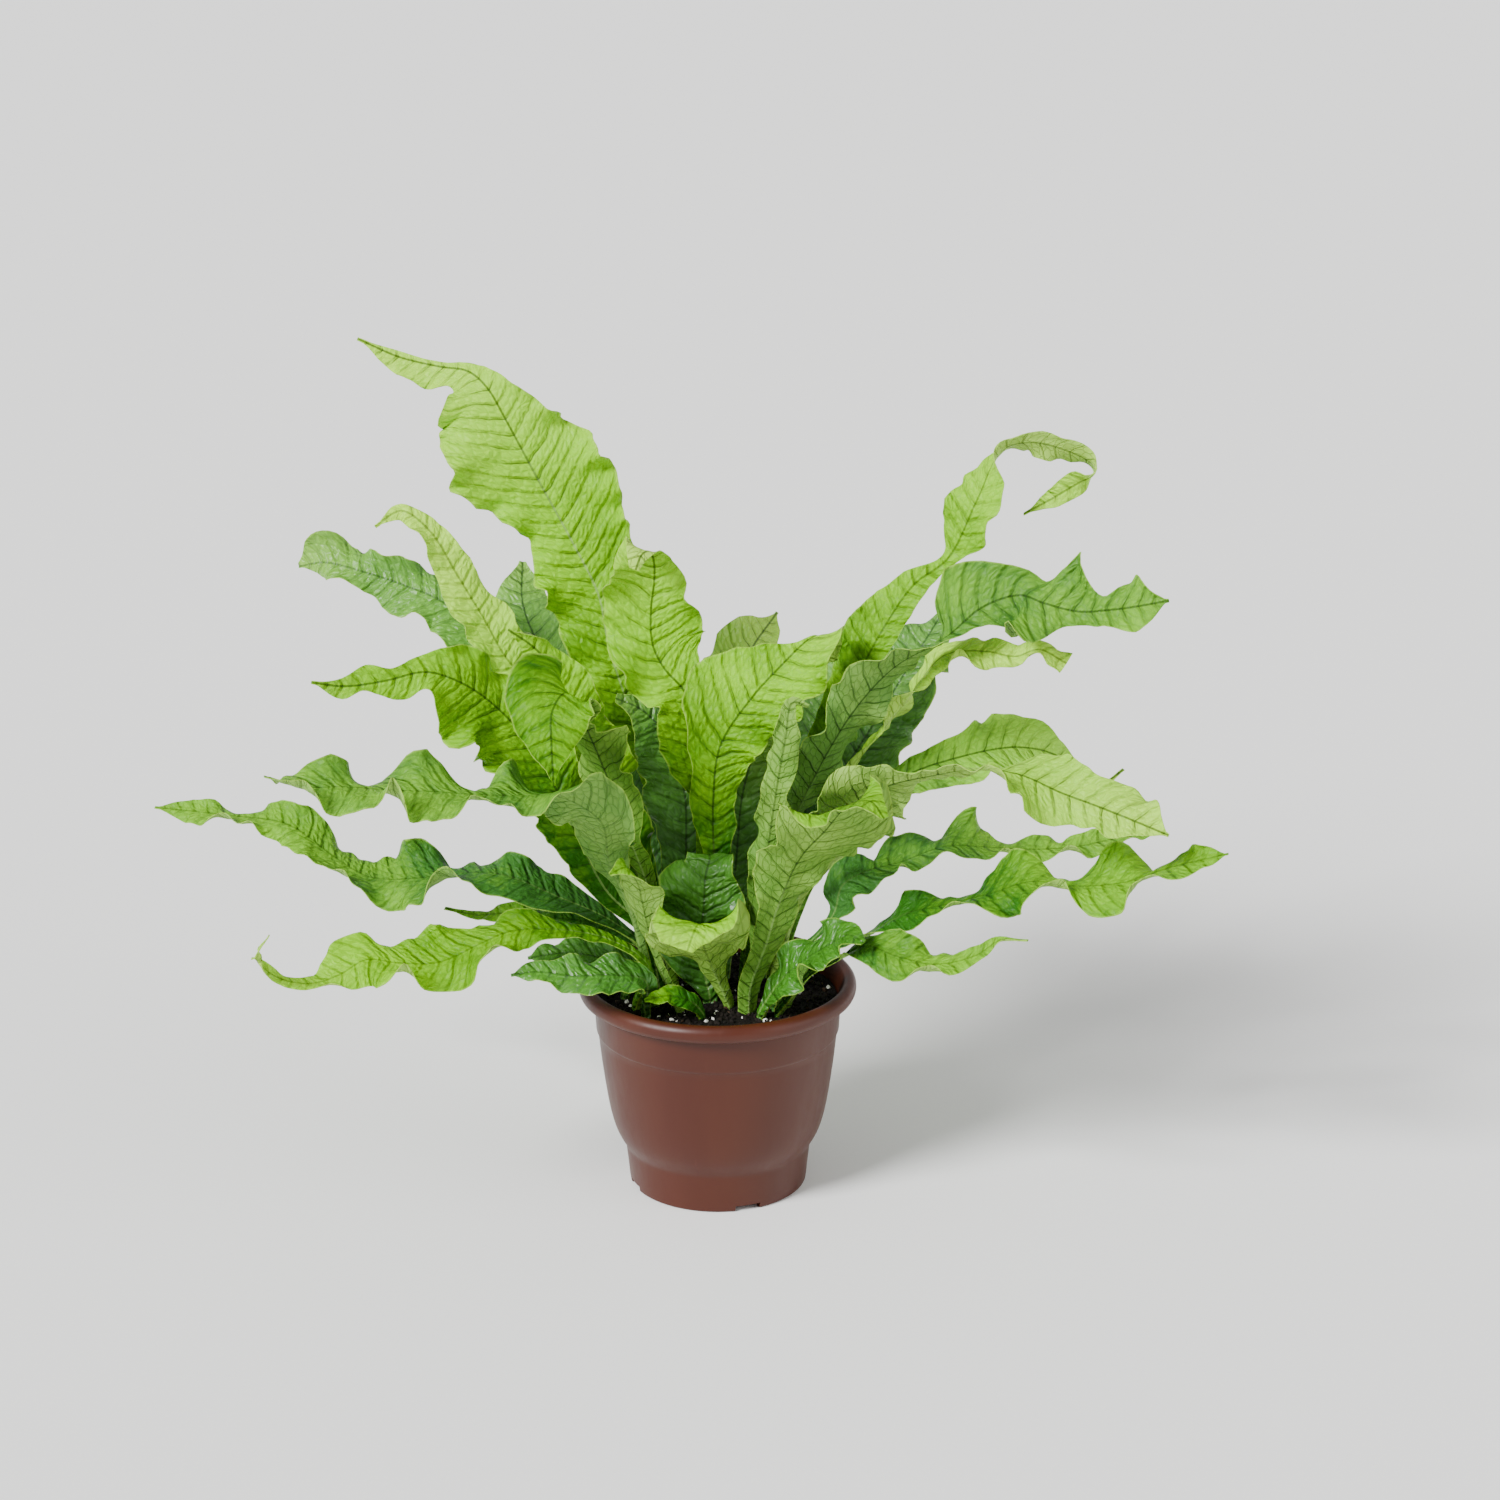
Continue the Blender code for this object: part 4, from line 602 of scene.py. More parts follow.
def ripple(lengths, seed, wavelength):
    """An uneven wave along a margin, between about -1 and 1, the same on each run."""
    draw = np.random.default_rng(seed)
    total = 0
    for share, stretch in ((0.6, 1.0), (0.3, 0.62), (0.25, 1.57)):
        wave = wavelength * stretch * draw.uniform(0.9, 1.1)
        total = total + share * np.sin(2 * np.pi * lengths / wave + draw.uniform(0, 6.28))
    return total


def margin_turn(frond, at, side, share, lengths, ruffle, seed):
    """How far the blade is turned up at each share of its half width, in radians."""
    phase = np.radians(frond.phase[0] if side > 0 else frond.phase[1])
    beat = 2 * np.pi * frond.waves * at
    swing = np.sin(beat + phase) + 0.22 * np.sin(2.3 * beat + 2.3 * phase + 1.0)
    turn = np.radians(FOLD + frond.curl * ease(0.12, 0.42, at) * swing)
    grown = np.radians(ruffle) * ease(0.12, 0.35, at)
    fold = 1.15 * grown * ripple(lengths, seed + 3, FOLD_LENGTH)
    frill = grown * ripple(lengths, seed, FRILL_LENGTH)
    return turn[:, None] * share ** 1.1 + fold[:, None] * share ** 1.5 + frill[:, None] * share ** 2.5


def half_width(frond, at, side, lengths, seed):
    """How far the blade reaches to one side of its midrib, its margin a little scalloped."""
    phase = np.radians(frond.phase[0] if side > 0 else frond.phase[1])
    lobe = np.sin(2 * np.pi * frond.waves * 0.93 * at + phase + 1.1)
    half = spread(frond.left if side > 0 else frond.right or frond.left, at)
    half = half * (1 + 0.1 * ease(0.2, 0.5, at) * lobe)
    scallop = -np.abs(ripple(lengths, seed, SCALLOP_LENGTH)) ** 0.7 + 0.45
    half = half * (1 + SCALLOP * ease(0.1, 0.3, at) * scallop)
    return np.maximum(half, np.where(at < 0.5, STEM_HALF, TIP_HALF))


def blade_middle(frond, curve, at, steps, ruffle, seed):
    """The blade's middle surface, with each point's way across it and its place along it."""
    centre, left, face = bearings(frond, curve, at)
    lengths = at * length_of(curve)
    edges = np.linspace(0, 1, steps + 1) ** 0.9
    mids = (edges[1:] + edges[:-1]) / 2
    sides = []
    for side in (-1, 1):
        half = half_width(frond, at, side, lengths, seed + side + 1)
        turn = margin_turn(frond, at, side, mids, lengths, ruffle, seed + side + 5)
        step = half[:, None] * np.diff(edges)
        start = np.zeros((len(at), 1))
        out = np.concatenate([start, np.cumsum(np.cos(turn) * step, 1)], 1)
        rise = np.concatenate([start, np.cumsum(np.sin(turn) * step, 1)], 1)
        points = centre[:, None] + side * left[:, None] * out[..., None] + face[:, None] * rise[..., None]
        sides.append((points, half[:, None] * edges))
    middle = np.concatenate([sides[0][0][:, :0:-1], sides[1][0]], 1)
    across = np.concatenate([-sides[0][1][:, :0:-1], sides[1][1]], 1)
    shares = np.concatenate([-edges[:0:-1], edges])
    return middle, across, shares, lengths


def vein_place(across, lengths):
    """Which side vein each point lies on, as a count from the foot: whole on a vein."""
    return (lengths[:, None] - VEIN_LEAN * np.abs(across) - VEIN_CURVE * across ** 2) / VEIN_SPACING


def quilt(across, lengths, shares, seed):
    """How far the blade swells between its side veins, in millimetres."""
    beat = 2 * np.pi * vein_place(across, lengths)
    lumps = ripple(lengths, seed + 9, LUMP_LENGTH)[:, None] * np.sin(across / 4.6 + lengths[:, None] / 9)
    fade = np.clip(np.abs(across) / 4, 0, 1) * (1 - 0.6 * np.abs(shares) ** 3)
    return (lumps - VEIN_SINK * np.cos(beat)) * fade


def grid_faces(rows, across, under):
    """How many quads a blade's upper face has, and all its quads: faces, margins and ends."""
    a = (np.arange(rows - 1)[:, None] * across + np.arange(across - 1)).ravel()
    upper = np.stack([a, a + across, a + across + 1, a + 1], 1)
    lower = np.stack([a, a + 1, a + across + 1, a + across], 1) + under
    right = np.arange(rows - 1) * across
    left = right + across - 1
    j = np.arange(across - 1)
    last = j + under - across
    return len(upper), np.concatenate([
        upper, lower,
        np.stack([right, right + under, right + across + under, right + across], 1),
        np.stack([left, left + across, left + across + under, left + under], 1),
        np.stack([j, j + 1, j + 1 + under, j + under], 1),
        np.stack([last, last + under, last + 1 + under, last + 1], 1)])


def frond_mesh(frond, settings, seed):
    """A frond's closed mesh, with a map of the blade laid flat and what its material reads."""
    # The rows of its points stand a little closer towards the tip
    curve = curve_through(frond.midrib)
    even = np.linspace(0, 1, int(length_of(curve) / settings.pace))
    at = 0.1 * even + 0.9 * even ** 0.9
    middle, across, shares, lengths = blade_middle(
        frond, curve, at, settings.steps, settings.ruffle, seed)
    normal = unit(np.cross(np.gradient(middle, axis=0), np.gradient(middle, axis=1)))
    middle = middle + normal * quilt(across, lengths, shares, seed)[..., None]

    # Two skins a blade's thickness apart, with the midrib and the stem between them
    reach = np.abs(shares)[None, :]
    ridge = (RIDGE_LEAST + RIDGE_MORE * (1 - ease(0.0, 0.8, at)))[:, None]
    ridge = ridge * np.clip(1 - np.abs(across) / STEM_HALF, 0, 1)
    stem = STEM_DEPTH * (1 - ease(0.04, 0.2, at))[:, None] * np.sqrt(1 - reach ** 2)
    groove = GROOVE_DEPTH * np.clip(1 - np.abs(across) / GROOVE_HALF, 0, 1)
    rim = BLADE * (0.3 + 0.2 * np.sqrt(1 - reach ** 4))
    upper = middle + normal * (rim + stem * 0.7 - groove)[..., None]
    lower = middle - normal * (rim + stem + ridge)[..., None]

    # The stem goes straight down from its collar to its foot in the compost
    feet = []
    for height in (FOOT_Z, COLLAR_Z):
        plan = np.concatenate([upper[0], lower[0]])
        plan = plan - (upper[0].mean(0) + lower[0].mean(0)) / 2 + np.array(frond.midrib[0])
        plan[:, 2] = height
        feet.append((plan[:len(shares)], plan[len(shares):]))
    upper = np.stack([feet[0][0], feet[1][0]] + list(upper))
    lower = np.stack([feet[0][1], feet[1][1]] + list(lower))
    lengths = np.concatenate([FOOT_RUN, lengths])
    across = np.vstack([across[:1], across[:1], across])
    at = np.concatenate([[0, 0], at])

    points = np.concatenate([upper.reshape(-1, 3), lower.reshape(-1, 3)]) * MM
    uppers, faces = grid_faces(len(at), len(shares), across.size)
    mesh = bpy.data.meshes.new(frond.name + "_leaf")
    mesh.from_pydata(points, [], faces)
    loops = np.zeros(len(mesh.loops), np.int32)
    mesh.loops.foreach_get("vertex_index", loops)
    flat = np.stack([np.repeat(lengths, len(shares)), across.ravel()], 1) / MAP_UNIT
    veins = np.stack([vein_place(across, lengths).ravel(), across.ravel() / VEIN_SPACING], 1)
    for name, values in (("blade", flat), ("veins", veins)):
        values = np.concatenate([values, values])[loops]
        mesh.uv_layers.new(name=name).data.foreach_set("uv", values.astype(np.float32).ravel())
    shade = [np.full(across.size, getattr(frond, name)) for name in LEAF_FIELDS[2:]]
    edge = np.tile(np.abs(shares), len(at))
    for name, values in zip(LEAF_FIELDS, (edge, np.repeat(at, len(shares)), *shade)):
        layer = mesh.attributes.new(name, "FLOAT", "POINT")
        layer.data.foreach_set("value", np.concatenate([values, values]).astype(np.float32))
    below = np.ones(len(faces), np.int32)
    below[:uppers] = 0
    mesh.polygons.foreach_set("material_index", below)
    mesh.update()
    mesh.validate()
    smooth(mesh, 70)
    return mesh


# Materials


def new_material(name):
    """An empty material with a Principled shader and its output."""
    made = bpy.data.materials.new(name)
    made.use_nodes = True
    tree = made.node_tree
    tree.nodes.clear()
    shader = add(tree, "ShaderNodeBsdfPrincipled")
    add(tree, "ShaderNodeOutputMaterial", {"Surface": shader})
    return made, tree, shader


def leaf_material(settings, kind, name, rib, gloss, rough):
    """A living fern blade: a leathery skin with dark veins in a net and a waxy sheen.

    Above, the skin swells between sunken side veins, which fade before they reach the margin.
    Below it is duller and paler, and its veins stand out as fine dark ridges. The pattern lies
    on the blade laid flat, so it bends with the frond.
    """
    under = kind == "under"
    pale = (*getattr(settings, kind + "_pale"), 1.0)
    mid = (*getattr(settings, kind + "_mid"), 1.0)
    made, tree, shader = new_material(name)
    flat = add(tree, "ShaderNodeUVMap", uv_map="blade")
    veins = add(tree, "ShaderNodeUVMap", uv_map="veins")
    edge, reach, light, rib_turn, veined, bloom = [
        add(tree, "ShaderNodeAttribute", attribute_name=field).outputs["Fac"] for field in LEAF_FIELDS]
    across = add(tree, "ShaderNodeSeparateXYZ", [flat]).outputs["Y"]
    out = add(tree, "ShaderNodeMath", [across], operation="ABSOLUTE")

    # Side veins: one for each step of the vein map, with a wander of a millimetre or so
    sway = add(tree, "ShaderNodeTexNoise",
               {"Vector": flat, "Scale": MAP_UNIT / VEIN_BEND, "Detail": 2.0}, **FLAT)
    row = add(tree, "ShaderNodeSeparateXYZ", [veins])
    row = add(tree, "ShaderNodeMath", (sway, VEIN_WANDER, row), operation="MULTIPLY_ADD")
    off_vein = add(tree, "ShaderNodeMath", (row, 0.5), operation="PINGPONG")
    side_vein = add(tree, "ShaderNodeMapRange",
                    (off_vein, 0.015, 0.07 if under else 0.08, 1.0, 0.0), **SOFT)
    pillow = add(tree, "ShaderNodeMapRange", (off_vein, 0.0, 0.24), **SOFT)

    # The net between them, its lines drawn a little wider than life so that they show
    ruff = add(tree, "ShaderNodeTexNoise",
               {"Vector": flat, "Scale": MAP_UNIT / NET_BEND, "Detail": 1.0}, **FLAT)
    bent = add(tree, "ShaderNodeVectorMath", (ruff.outputs["Color"], (0.25, 0.25, 0.0), veins),
               operation="MULTIPLY_ADD")
    net = add(tree, "ShaderNodeTexVoronoi",
              {"Vector": bent, "Scale": VEIN_SPACING / NET_CELL, "Randomness": 0.8},
              voronoi_dimensions="2D", feature="DISTANCE_TO_EDGE")
    net_vein = add(tree, "ShaderNodeMapRange", (net, 0.02, 0.13, 1.0, 0.0), **SOFT)
    island = add(tree, "ShaderNodeMapRange", (net, 0.0, 0.45), **SOFT)

    # The skin: paler towards the tip and between the veins, with broad uneven patches. Its darkening low
    # on the blade is partly its own colour and partly painted shade of the crowded crown
    cloud = add(tree, "ShaderNodeTexNoise",
                {"Vector": flat, "Scale": MAP_UNIT / PATCH_SIZE, "Detail": 5.0, "Roughness": 0.62}, **FLAT)
    # Painted shade, in part: the blade darkens towards its foot, where the crown shades it
    tone = add(tree, "ShaderNodeMapRange", (reach, 0.2, 0.85, -0.6 if under else -0.9, -0.1), **SOFT)
    # The frond's lightness is partly painted light and shade: paler for some fronds in the crown's shade,
    # darker for some in full light
    for part, share in ((cloud, 1.2), (light, 0.5), (island, 0.1), (pillow, 0.1)):
        tone = add(tree, "ShaderNodeMath", (part, share, tone), operation="MULTIPLY_ADD")
    tone.use_clamp = True
    skin = add(tree, "ShaderNodeMix", {0: tone, 6: mid, 7: pale}, **COLOURS)

    # Pale fronds turn yellow-green at the tip, and on some a grey-green painted sheen stands in for light
    # reflected off the waxy skin
    young = add(tree, "ShaderNodeMath", (light, 0.35, reach), operation="MULTIPLY_ADD")
    young = add(tree, "ShaderNodeMapRange", (young, 1.0, 1.4, 0.0, 0.7))
    for share, over in ((young, "#B8E64C"), (bloom, "#70906A")):
        skin = add(tree, "ShaderNodeMix", {0: share, 6: skin, 7: linear(over)}, **COLOURS)

    # Side veins are strong by the midrib, fade to the margin, and come and go on their way
    strong, faint = (0.8, 0.4) if under else (0.95, 0.12)
    fade = add(tree, "ShaderNodeMapRange", (edge, 0.15, 0.85, strong, faint), **SOFT)
    depth = add(tree, "ShaderNodeTexNoise",
                {"Vector": veins, "Scale": VEIN_SPACING / VEIN_STRETCH, "Detail": 1.0}, **FLAT)
    depth = add(tree, "ShaderNodeMapRange", (depth, 0.34, 0.58, 0.4, 1.0), **SOFT)
    side = side_vein
    for share in (fade, veined, depth):
        side = add(tree, "ShaderNodeMath", (side, share), operation="MULTIPLY")
    fine = add(tree, "ShaderNodeMath", (net_vein, 0.2), operation="MULTIPLY")
    lines = add(tree, "ShaderNodeMath", (side, fine), operation="MAXIMUM")
    dark = add(tree, "ShaderNodeMix", {0: 0.82, 6: skin, 7: linear(rib)}, **COLOURS)

    # The midrib is pale low on the blade and turns dark further up, and the margin is a pale line
    turned_dark = add(tree, "ShaderNodeMath", (reach, rib_turn), operation="SUBTRACT")
    turned_dark = add(tree, "ShaderNodeMapRange", (turned_dark, -0.12, 0.1), **SOFT)
    rib_skin = add(tree, "ShaderNodeMix",
                   {0: turned_dark, 6: linear("#86AC58"), 7: linear(rib)}, **COLOURS)
    midrib = add(tree, "ShaderNodeMapRange",
                 (out, RIB_LINE / MAP_UNIT, RIB_FADE / MAP_UNIT, 0.75, 0.0), **SOFT)
    shown = add(tree, "ShaderNodeMapRange", (veined, 0.0, 1.0, 0.45, 1.0))
    midrib = add(tree, "ShaderNodeMath", (midrib, shown), operation="MULTIPLY")
    margin = add(tree, "ShaderNodeMapRange", (edge, 0.95, 0.99, 0.0, 0.5))
    for share, over in ((lines, dark), (midrib, rib_skin), (margin, linear("#9CC04A"))):
        skin = add(tree, "ShaderNodeMix", {0: share, 6: skin, 7: over}, **COLOURS)

    # Relief: swollen islands above, raised veins below, and a fine grain on both
    grain = add(tree, "ShaderNodeTexNoise",
                {"Vector": flat, "Scale": MAP_UNIT / LEAF_GRAIN, "Detail": 2.0}, **FLAT)
    if under:
        swell = add(tree, "ShaderNodeMath", (side_vein, 0.7, fine), operation="MULTIPLY_ADD")
    else:
        swell = add(tree, "ShaderNodeMath", (island, 0.28), operation="MULTIPLY")
        swell = add(tree, "ShaderNodeMath", (pillow, 0.6, swell), operation="MULTIPLY_ADD")
    swell = add(tree, "ShaderNodeMath", (grain, 0.06, swell), operation="MULTIPLY_ADD")
    bump = add(tree, "ShaderNodeBump", {"Height": swell, "Strength": 1.0, "Distance": 1.8 * MM})
    worn = add(tree, "ShaderNodeMapRange", (cloud, 0.3, 0.7, rough, rough + 0.1))
    feed(tree, shader, {
        "Base Color": skin, "Normal": bump, "Roughness": worn, "IOR": 1.45, "Specular IOR Level": gloss})
    # Light passes through a leaf and comes out yellow-green
    feed(tree, shader, {
        "Subsurface Weight": 0.25, "Subsurface Radius": (0.8, 1.2, 0.3), "Subsurface Scale": 1.0 * MM})
    return made


def pot_material(settings):
    """Polypropylene, injection moulded: a satin brown, cloudy along its flow, with a faint peel.

    Handling has left paler scuffs on it, which are a little rougher.
    """
    made, tree, shader = new_material("moulded_polypropylene")
    where = add(tree, "ShaderNodeTexCoord").outputs["Object"]
    flow = add(tree, "ShaderNodeMapping", {"Vector": where, "Scale": (1.0, 1.0, 0.25)})
    cloud = add(tree, "ShaderNodeTexNoise",
                {"Vector": flow, "Scale": 1 / (FLOW_SIZE * MM), "Detail": 3.0})
    peel = add(tree, "ShaderNodeTexNoise",
               {"Vector": where, "Scale": 1 / (PEEL_SIZE * MM), "Detail": 2.0})
    scuff = add(tree, "ShaderNodeTexNoise",
                {"Vector": flow, "Scale": 1 / (SCUFF_SIZE * MM), "Detail": 6.0, "Roughness": 0.75})
    patchy = add(tree, "ShaderNodeMapRange", (cloud, 0.35, 0.65))
    worn = add(tree, "ShaderNodeMapRange", (scuff, 0.62, 0.78, 0.0, 0.25))
    skin = (*settings.colour, 1.0)
    for share, over in ((patchy, "#481E0E"), (worn, "#5E362B")):
        skin = add(tree, "ShaderNodeMix", {0: share, 6: skin, 7: linear(over)}, **COLOURS)
    fine = add(tree, "ShaderNodeMath", (peel, 0.4), operation="MULTIPLY")
    height = add(tree, "ShaderNodeMath", (scuff, 0.6, fine), operation="MULTIPLY_ADD")
    bump = add(tree, "ShaderNodeBump", {"Height": height, "Strength": 0.2, "Distance": 0.2 * MM})
    rough = add(tree, "ShaderNodeMapRange", (scuff, 0.3, 0.7, 0.36, 0.48))
    feed(tree, shader, {
        "Base Color": skin, "Normal": bump, "Roughness": rough, "IOR": 1.49, "Specular IOR Level": 0.35})
    return made


def compost_material():
    """Moist peat, loosely filled: crumbly and almost black, and brown where a clod has dried."""
    made, tree, shader = new_material("moist_peat")
    where = add(tree, "ShaderNodeTexCoord").outputs["Object"]
    clods = add(tree, "ShaderNodeTexNoise",
                {"Vector": where, "Scale": 1 / (CLOD_SIZE * MM), "Detail": 6.0, "Roughness": 0.7})
    dry = add(tree, "ShaderNodeMapRange", (clods, 0.4, 0.7))
    skin = add(tree, "ShaderNodeMix", {0: dry, 6: linear("#080605"), 7: linear("#1C140E")}, **COLOURS)
    bump = add(tree, "ShaderNodeBump", {"Height": clods, "Strength": 1.0, "Distance": 2.0 * MM})
    feed(tree, shader, {
        "Base Color": skin, "Normal": bump, "Roughness": 0.85, "Specular IOR Level": 0.2})
    return made


def crumb_material(name, dark, light, roughness, relief):
    """Loose bits of the compost, broken and sieved: dull, each with a shade of its own.

    The relief of their grain is in millimetres.
    """
    made, tree, shader = new_material(name)
    shade = add(tree, "ShaderNodeAttribute", attribute_name="shade").outputs["Fac"]
    where = add(tree, "ShaderNodeTexCoord").outputs["Object"]
    grain = add(tree, "ShaderNodeTexNoise",
                {"Vector": where, "Scale": 1 / (CRUMB_GRAIN * MM), "Detail": 3.0})
    fac = add(tree, "ShaderNodeMath", (shade, 0.8, -0.3), operation="MULTIPLY_ADD")
    fac = add(tree, "ShaderNodeMath", (grain, 0.6, fac), operation="MULTIPLY_ADD", use_clamp=True)
    skin = add(tree, "ShaderNodeMix", {0: fac, 6: linear(dark), 7: linear(light)}, **COLOURS)
    bump = add(tree, "ShaderNodeBump", {"Height": grain, "Strength": 0.8, "Distance": relief * MM})
    feed(tree, shader, {
        "Base Color": skin, "Normal": bump, "Roughness": roughness, "Specular IOR Level": 0.25})
    return made


def paper_material():
    """Matt white paper, calendered: flat and even, with a barely seen mottle."""
    made, tree, shader = new_material("matt_white_paper")
    where = add(tree, "ShaderNodeTexCoord").outputs["Object"]
    grain = add(tree, "ShaderNodeTexNoise", {"Vector": where, "Scale": 1 / (PAPER_GRAIN * MM)})
    skin = add(tree, "ShaderNodeMix", {0: grain, 6: linear("#F4F4F3"), 7: linear("#F8F8F7")}, **COLOURS)
    feed(tree, shader, {"Base Color": skin, "Roughness": 0.9})
    return made


# Pieces


def place(name, data):
    """An object in the scene for a mesh, light or camera."""
    made = bpy.data.objects.new(name, data)
    bpy.context.scene.collection.objects.link(made)
    return made


def mesh_of(name, shape):
    """The mesh of a shape built in mesh code, which is then freed."""
    mesh = bpy.data.meshes.new(name)
    shape.to_mesh(mesh)
    shape.free()
    return mesh


def smooth(mesh, corner):
    """Smooths a mesh's shading, but for corners sharper than this, in degrees."""
    mesh.shade_smooth()
    mesh.set_sharp_from_angle(angle=math.radians(corner))


def make_plain(piece):
    """Gives a piece the plain mesh that its modifiers make, and takes them off."""
    bpy.context.view_layer.update()
    graph = bpy.context.evaluated_depsgraph_get()
    mesh = bpy.data.meshes.new_from_object(piece.evaluated_get(graph))
    piece.modifiers.clear()
    piece.data = mesh


def rounded(profile, steps):
    """A profile's points of radius and height, its marked stretches drawn as curves."""
    points = []
    for stretch, curved in profile:
        fine = curve_through([(r, 0, z) for r, z in stretch], steps)[:, [0, 2]] if curved else stretch
        points += [tuple(p) for p in fine]
    return points


def set_in_order(shape):
    """Sorts a shape's faces by their three lowest points, as a spin's order changes each run."""
    shape.verts.index_update()
    count = len(shape.verts)

    def rank(face):
        first, second, third = sorted(point.index for point in face.verts)[:3]
        return (first * count + second) * count + third

    shape.faces.sort(key=rank)


def turned(name, profile, around):
    """A mesh turned round Z from a profile of radius and height that ends on the axis."""
    shape = bmesh.new()
    points = [shape.verts.new((radius * MM, 0, height * MM)) for radius, height in profile]
    edges = [shape.edges.new(ends) for ends in zip(points, points[1:])]
    bmesh.ops.spin(shape, geom=points + edges, cent=(0, 0, 0), axis=(0, 0, 1),
                   angle=2 * math.pi, steps=around, use_merge=True)
    bmesh.ops.remove_doubles(shape, verts=shape.verts, dist=0.00001)
    bmesh.ops.recalc_face_normals(shape, faces=shape.faces)
    set_in_order(shape)
    return mesh_of(name, shape)


def notch_block(shape):
    """A block as wide and twice as high as a drainage notch."""
    made = bmesh.ops.create_cube(shape, size=1)
    size = (NOTCH_DEPTH * MM, NOTCH_WIDTH * MM, 2 * NOTCH_HEIGHT * MM)
    bmesh.ops.scale(shape, vec=size, verts=made["verts"])


def drain_plug(shape):
    """A round plug as wide as a drainage hole."""
    bmesh.ops.create_cone(shape, cap_ends=True, segments=32, depth=PLUG_LENGTH * MM,
                          radius1=DRAIN_RADIUS * MM, radius2=DRAIN_RADIUS * MM)


def cut_ring(target, build, count, ring, height, first=0.0):
    """Sets cuts of one shape in a ring round the axis, and gives the shapes that cut."""
    cutters = []
    for number in range(count):
        turn = math.radians(first + 360 * number / count)
        shape = bmesh.new()
        build(shape)
        cutter = place("cutter", mesh_of("cutter", shape))
        cutter.location = Vector((ring * math.cos(turn), ring * math.sin(turn), height)) * MM
        cutter.rotation_euler = (0, 0, turn)
        boolean = target.modifiers.new("cut", "BOOLEAN")
        boolean.object = cutter
        boolean.operation = "DIFFERENCE"
        boolean.solver = "EXACT"
        cutters.append(cutter)
    return cutters


def pot_profile():
    """The pot's section from the middle of its underside, up outside, over the rim and down inside."""
    inner = [(radius - WALL, height) for radius, height in BODY]
    high = CHANNEL_HEIGHT + FLOOR_THICK
    return rounded((
        ([(0, 0), (PAD_RADIUS, 0), (PAD_RADIUS + CHANNEL_SLOPE, CHANNEL_HEIGHT),
          (CHANNEL_RADIUS, CHANNEL_HEIGHT), (CHANNEL_RADIUS + CHANNEL_SLOPE, 0),
          (FOOT_RADIUS - FOOT_CHAMFER, 0)], False),
        ([(FOOT_RADIUS - 0.9, 0.15), (FOOT_RADIUS - 0.25, 0.7), (FOOT_RADIUS, FOOT_CHAMFER),
          (49.3, 12), (50.2, 20)], True),
        ([(50.4, 21.6), (50.9, 22.9), *BODY[1:-1], (BODY[-1][0], LEDGE_HEIGHT - 0.3)], True),
        ([(65.1, LEDGE_HEIGHT + 0.2), (65.5, LEDGE_HEIGHT + 0.8),
          (LEDGE_RADIUS, LEDGE_HEIGHT + 1.6)], True),
        ([(BODY_TOP_RADIUS, RIM_UNDER + 0.8)], False),
        ([(71.6, RIM_UNDER), (72.6, RIM_UNDER + 0.2)], False),
        ([(74.1, 109.7), (74.8, 111.2), (RIM_RADIUS, 112.8), (74.7, 114.8), (73.6, 116.6),
          (72.1, 117.7), (70.6, RIM_HEIGHT), (69.2, 117.5), (68.2, 116.4)], True),
        ([(65.6, 108.6), (65.1, 106)], False),
        ([(63.9, LEDGE_HEIGHT + 1)] + inner[::-1], False),
        ([(FOOT_RADIUS - WALL, high), (PAD_RADIUS + 1, high), (PAD_RADIUS - 1, FLOOR_THICK),
          (0, FLOOR_THICK)], False)), 6)


def make_pot(settings):
    """The pot as a finely turned piece in place of its solid."""
    pot = place("pot_shell", turned("pot_shell", pot_profile(), settings.around))
    cutters = cut_ring(pot, notch_block, NOTCHES, NOTCH_RING, 0, FRONT_NOTCH)
    cutters += cut_ring(pot, drain_plug, DRAIN_HOLES, DRAIN_RING, PLUG_MIDDLE)
    make_plain(pot)
    for cutter in cutters:
        bpy.data.objects.remove(cutter)
    smooth(pot.data, 38)
    pot.data.materials.clear()
    pot.data.materials.append(pot_material(settings))
    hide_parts("pot")
    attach(pot, "root")


def make_fronds(settings):
    """Every frond as a fine ruffled blade in place of its solid."""
    looks = {kind: leaf_material(settings, kind, *look) for kind, look in LEAF_LOOKS.items()}
    for number, frond in enumerate(FRONDS):
        mesh = frond_mesh(frond, settings, FROND_SEED + number)
        leaf = place(frond.name + "_leaf", mesh)
        mesh.materials.append(looks[frond.tone])
        mesh.materials.append(looks["under"])
        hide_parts(frond.name)
        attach(leaf, "root")


def soil_height(x, y):
    """The compost's height at a place, in millimetres, as its solid has it."""
    wave = np.sin(x / 9) * np.cos(y / 11 + 0.6) + 0.5 * np.sin(x / 5 - y / 6)
    return SOIL_TOP + SOIL_WAVE * wave * ease(SOIL_RADIUS, SOIL_RADIUS - 6, np.hypot(x, y))


def make_compost():
    """The compost's body with a crumbly top, in place of its solid."""
    low = FLOOR_THICK + SOIL_GAP
    high = CHANNEL_HEIGHT + FLOOR_THICK + SOIL_GAP
    profile = [(0, low), (PAD_RADIUS - 1, low), (PAD_RADIUS + 1, high)]
    profile += [(radius - WALL - SOIL_GAP, height) for radius, height in ((FOOT_RADIUS, high), *BODY)]
    profile += [(SOIL_RADIUS * k / SOIL_RINGS, SOIL_TOP) for k in range(SOIL_RINGS, -1, -1)]
    mesh = turned("compost_body", profile, SOIL_AROUND)
    draw = np.random.default_rng(SOIL_SEED)
    for point in mesh.vertices:
        x, y, z = point.co / MM
        if z > SOIL_TOP - 1:
            point.co.z = (float(soil_height(x, y)) + draw.uniform(-0.5, 0.4)) * MM
    body = place("compost_body", mesh)
    smooth(mesh, 60)
    mesh.materials.append(compost_material())
    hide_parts("compost")
    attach(body, "root")


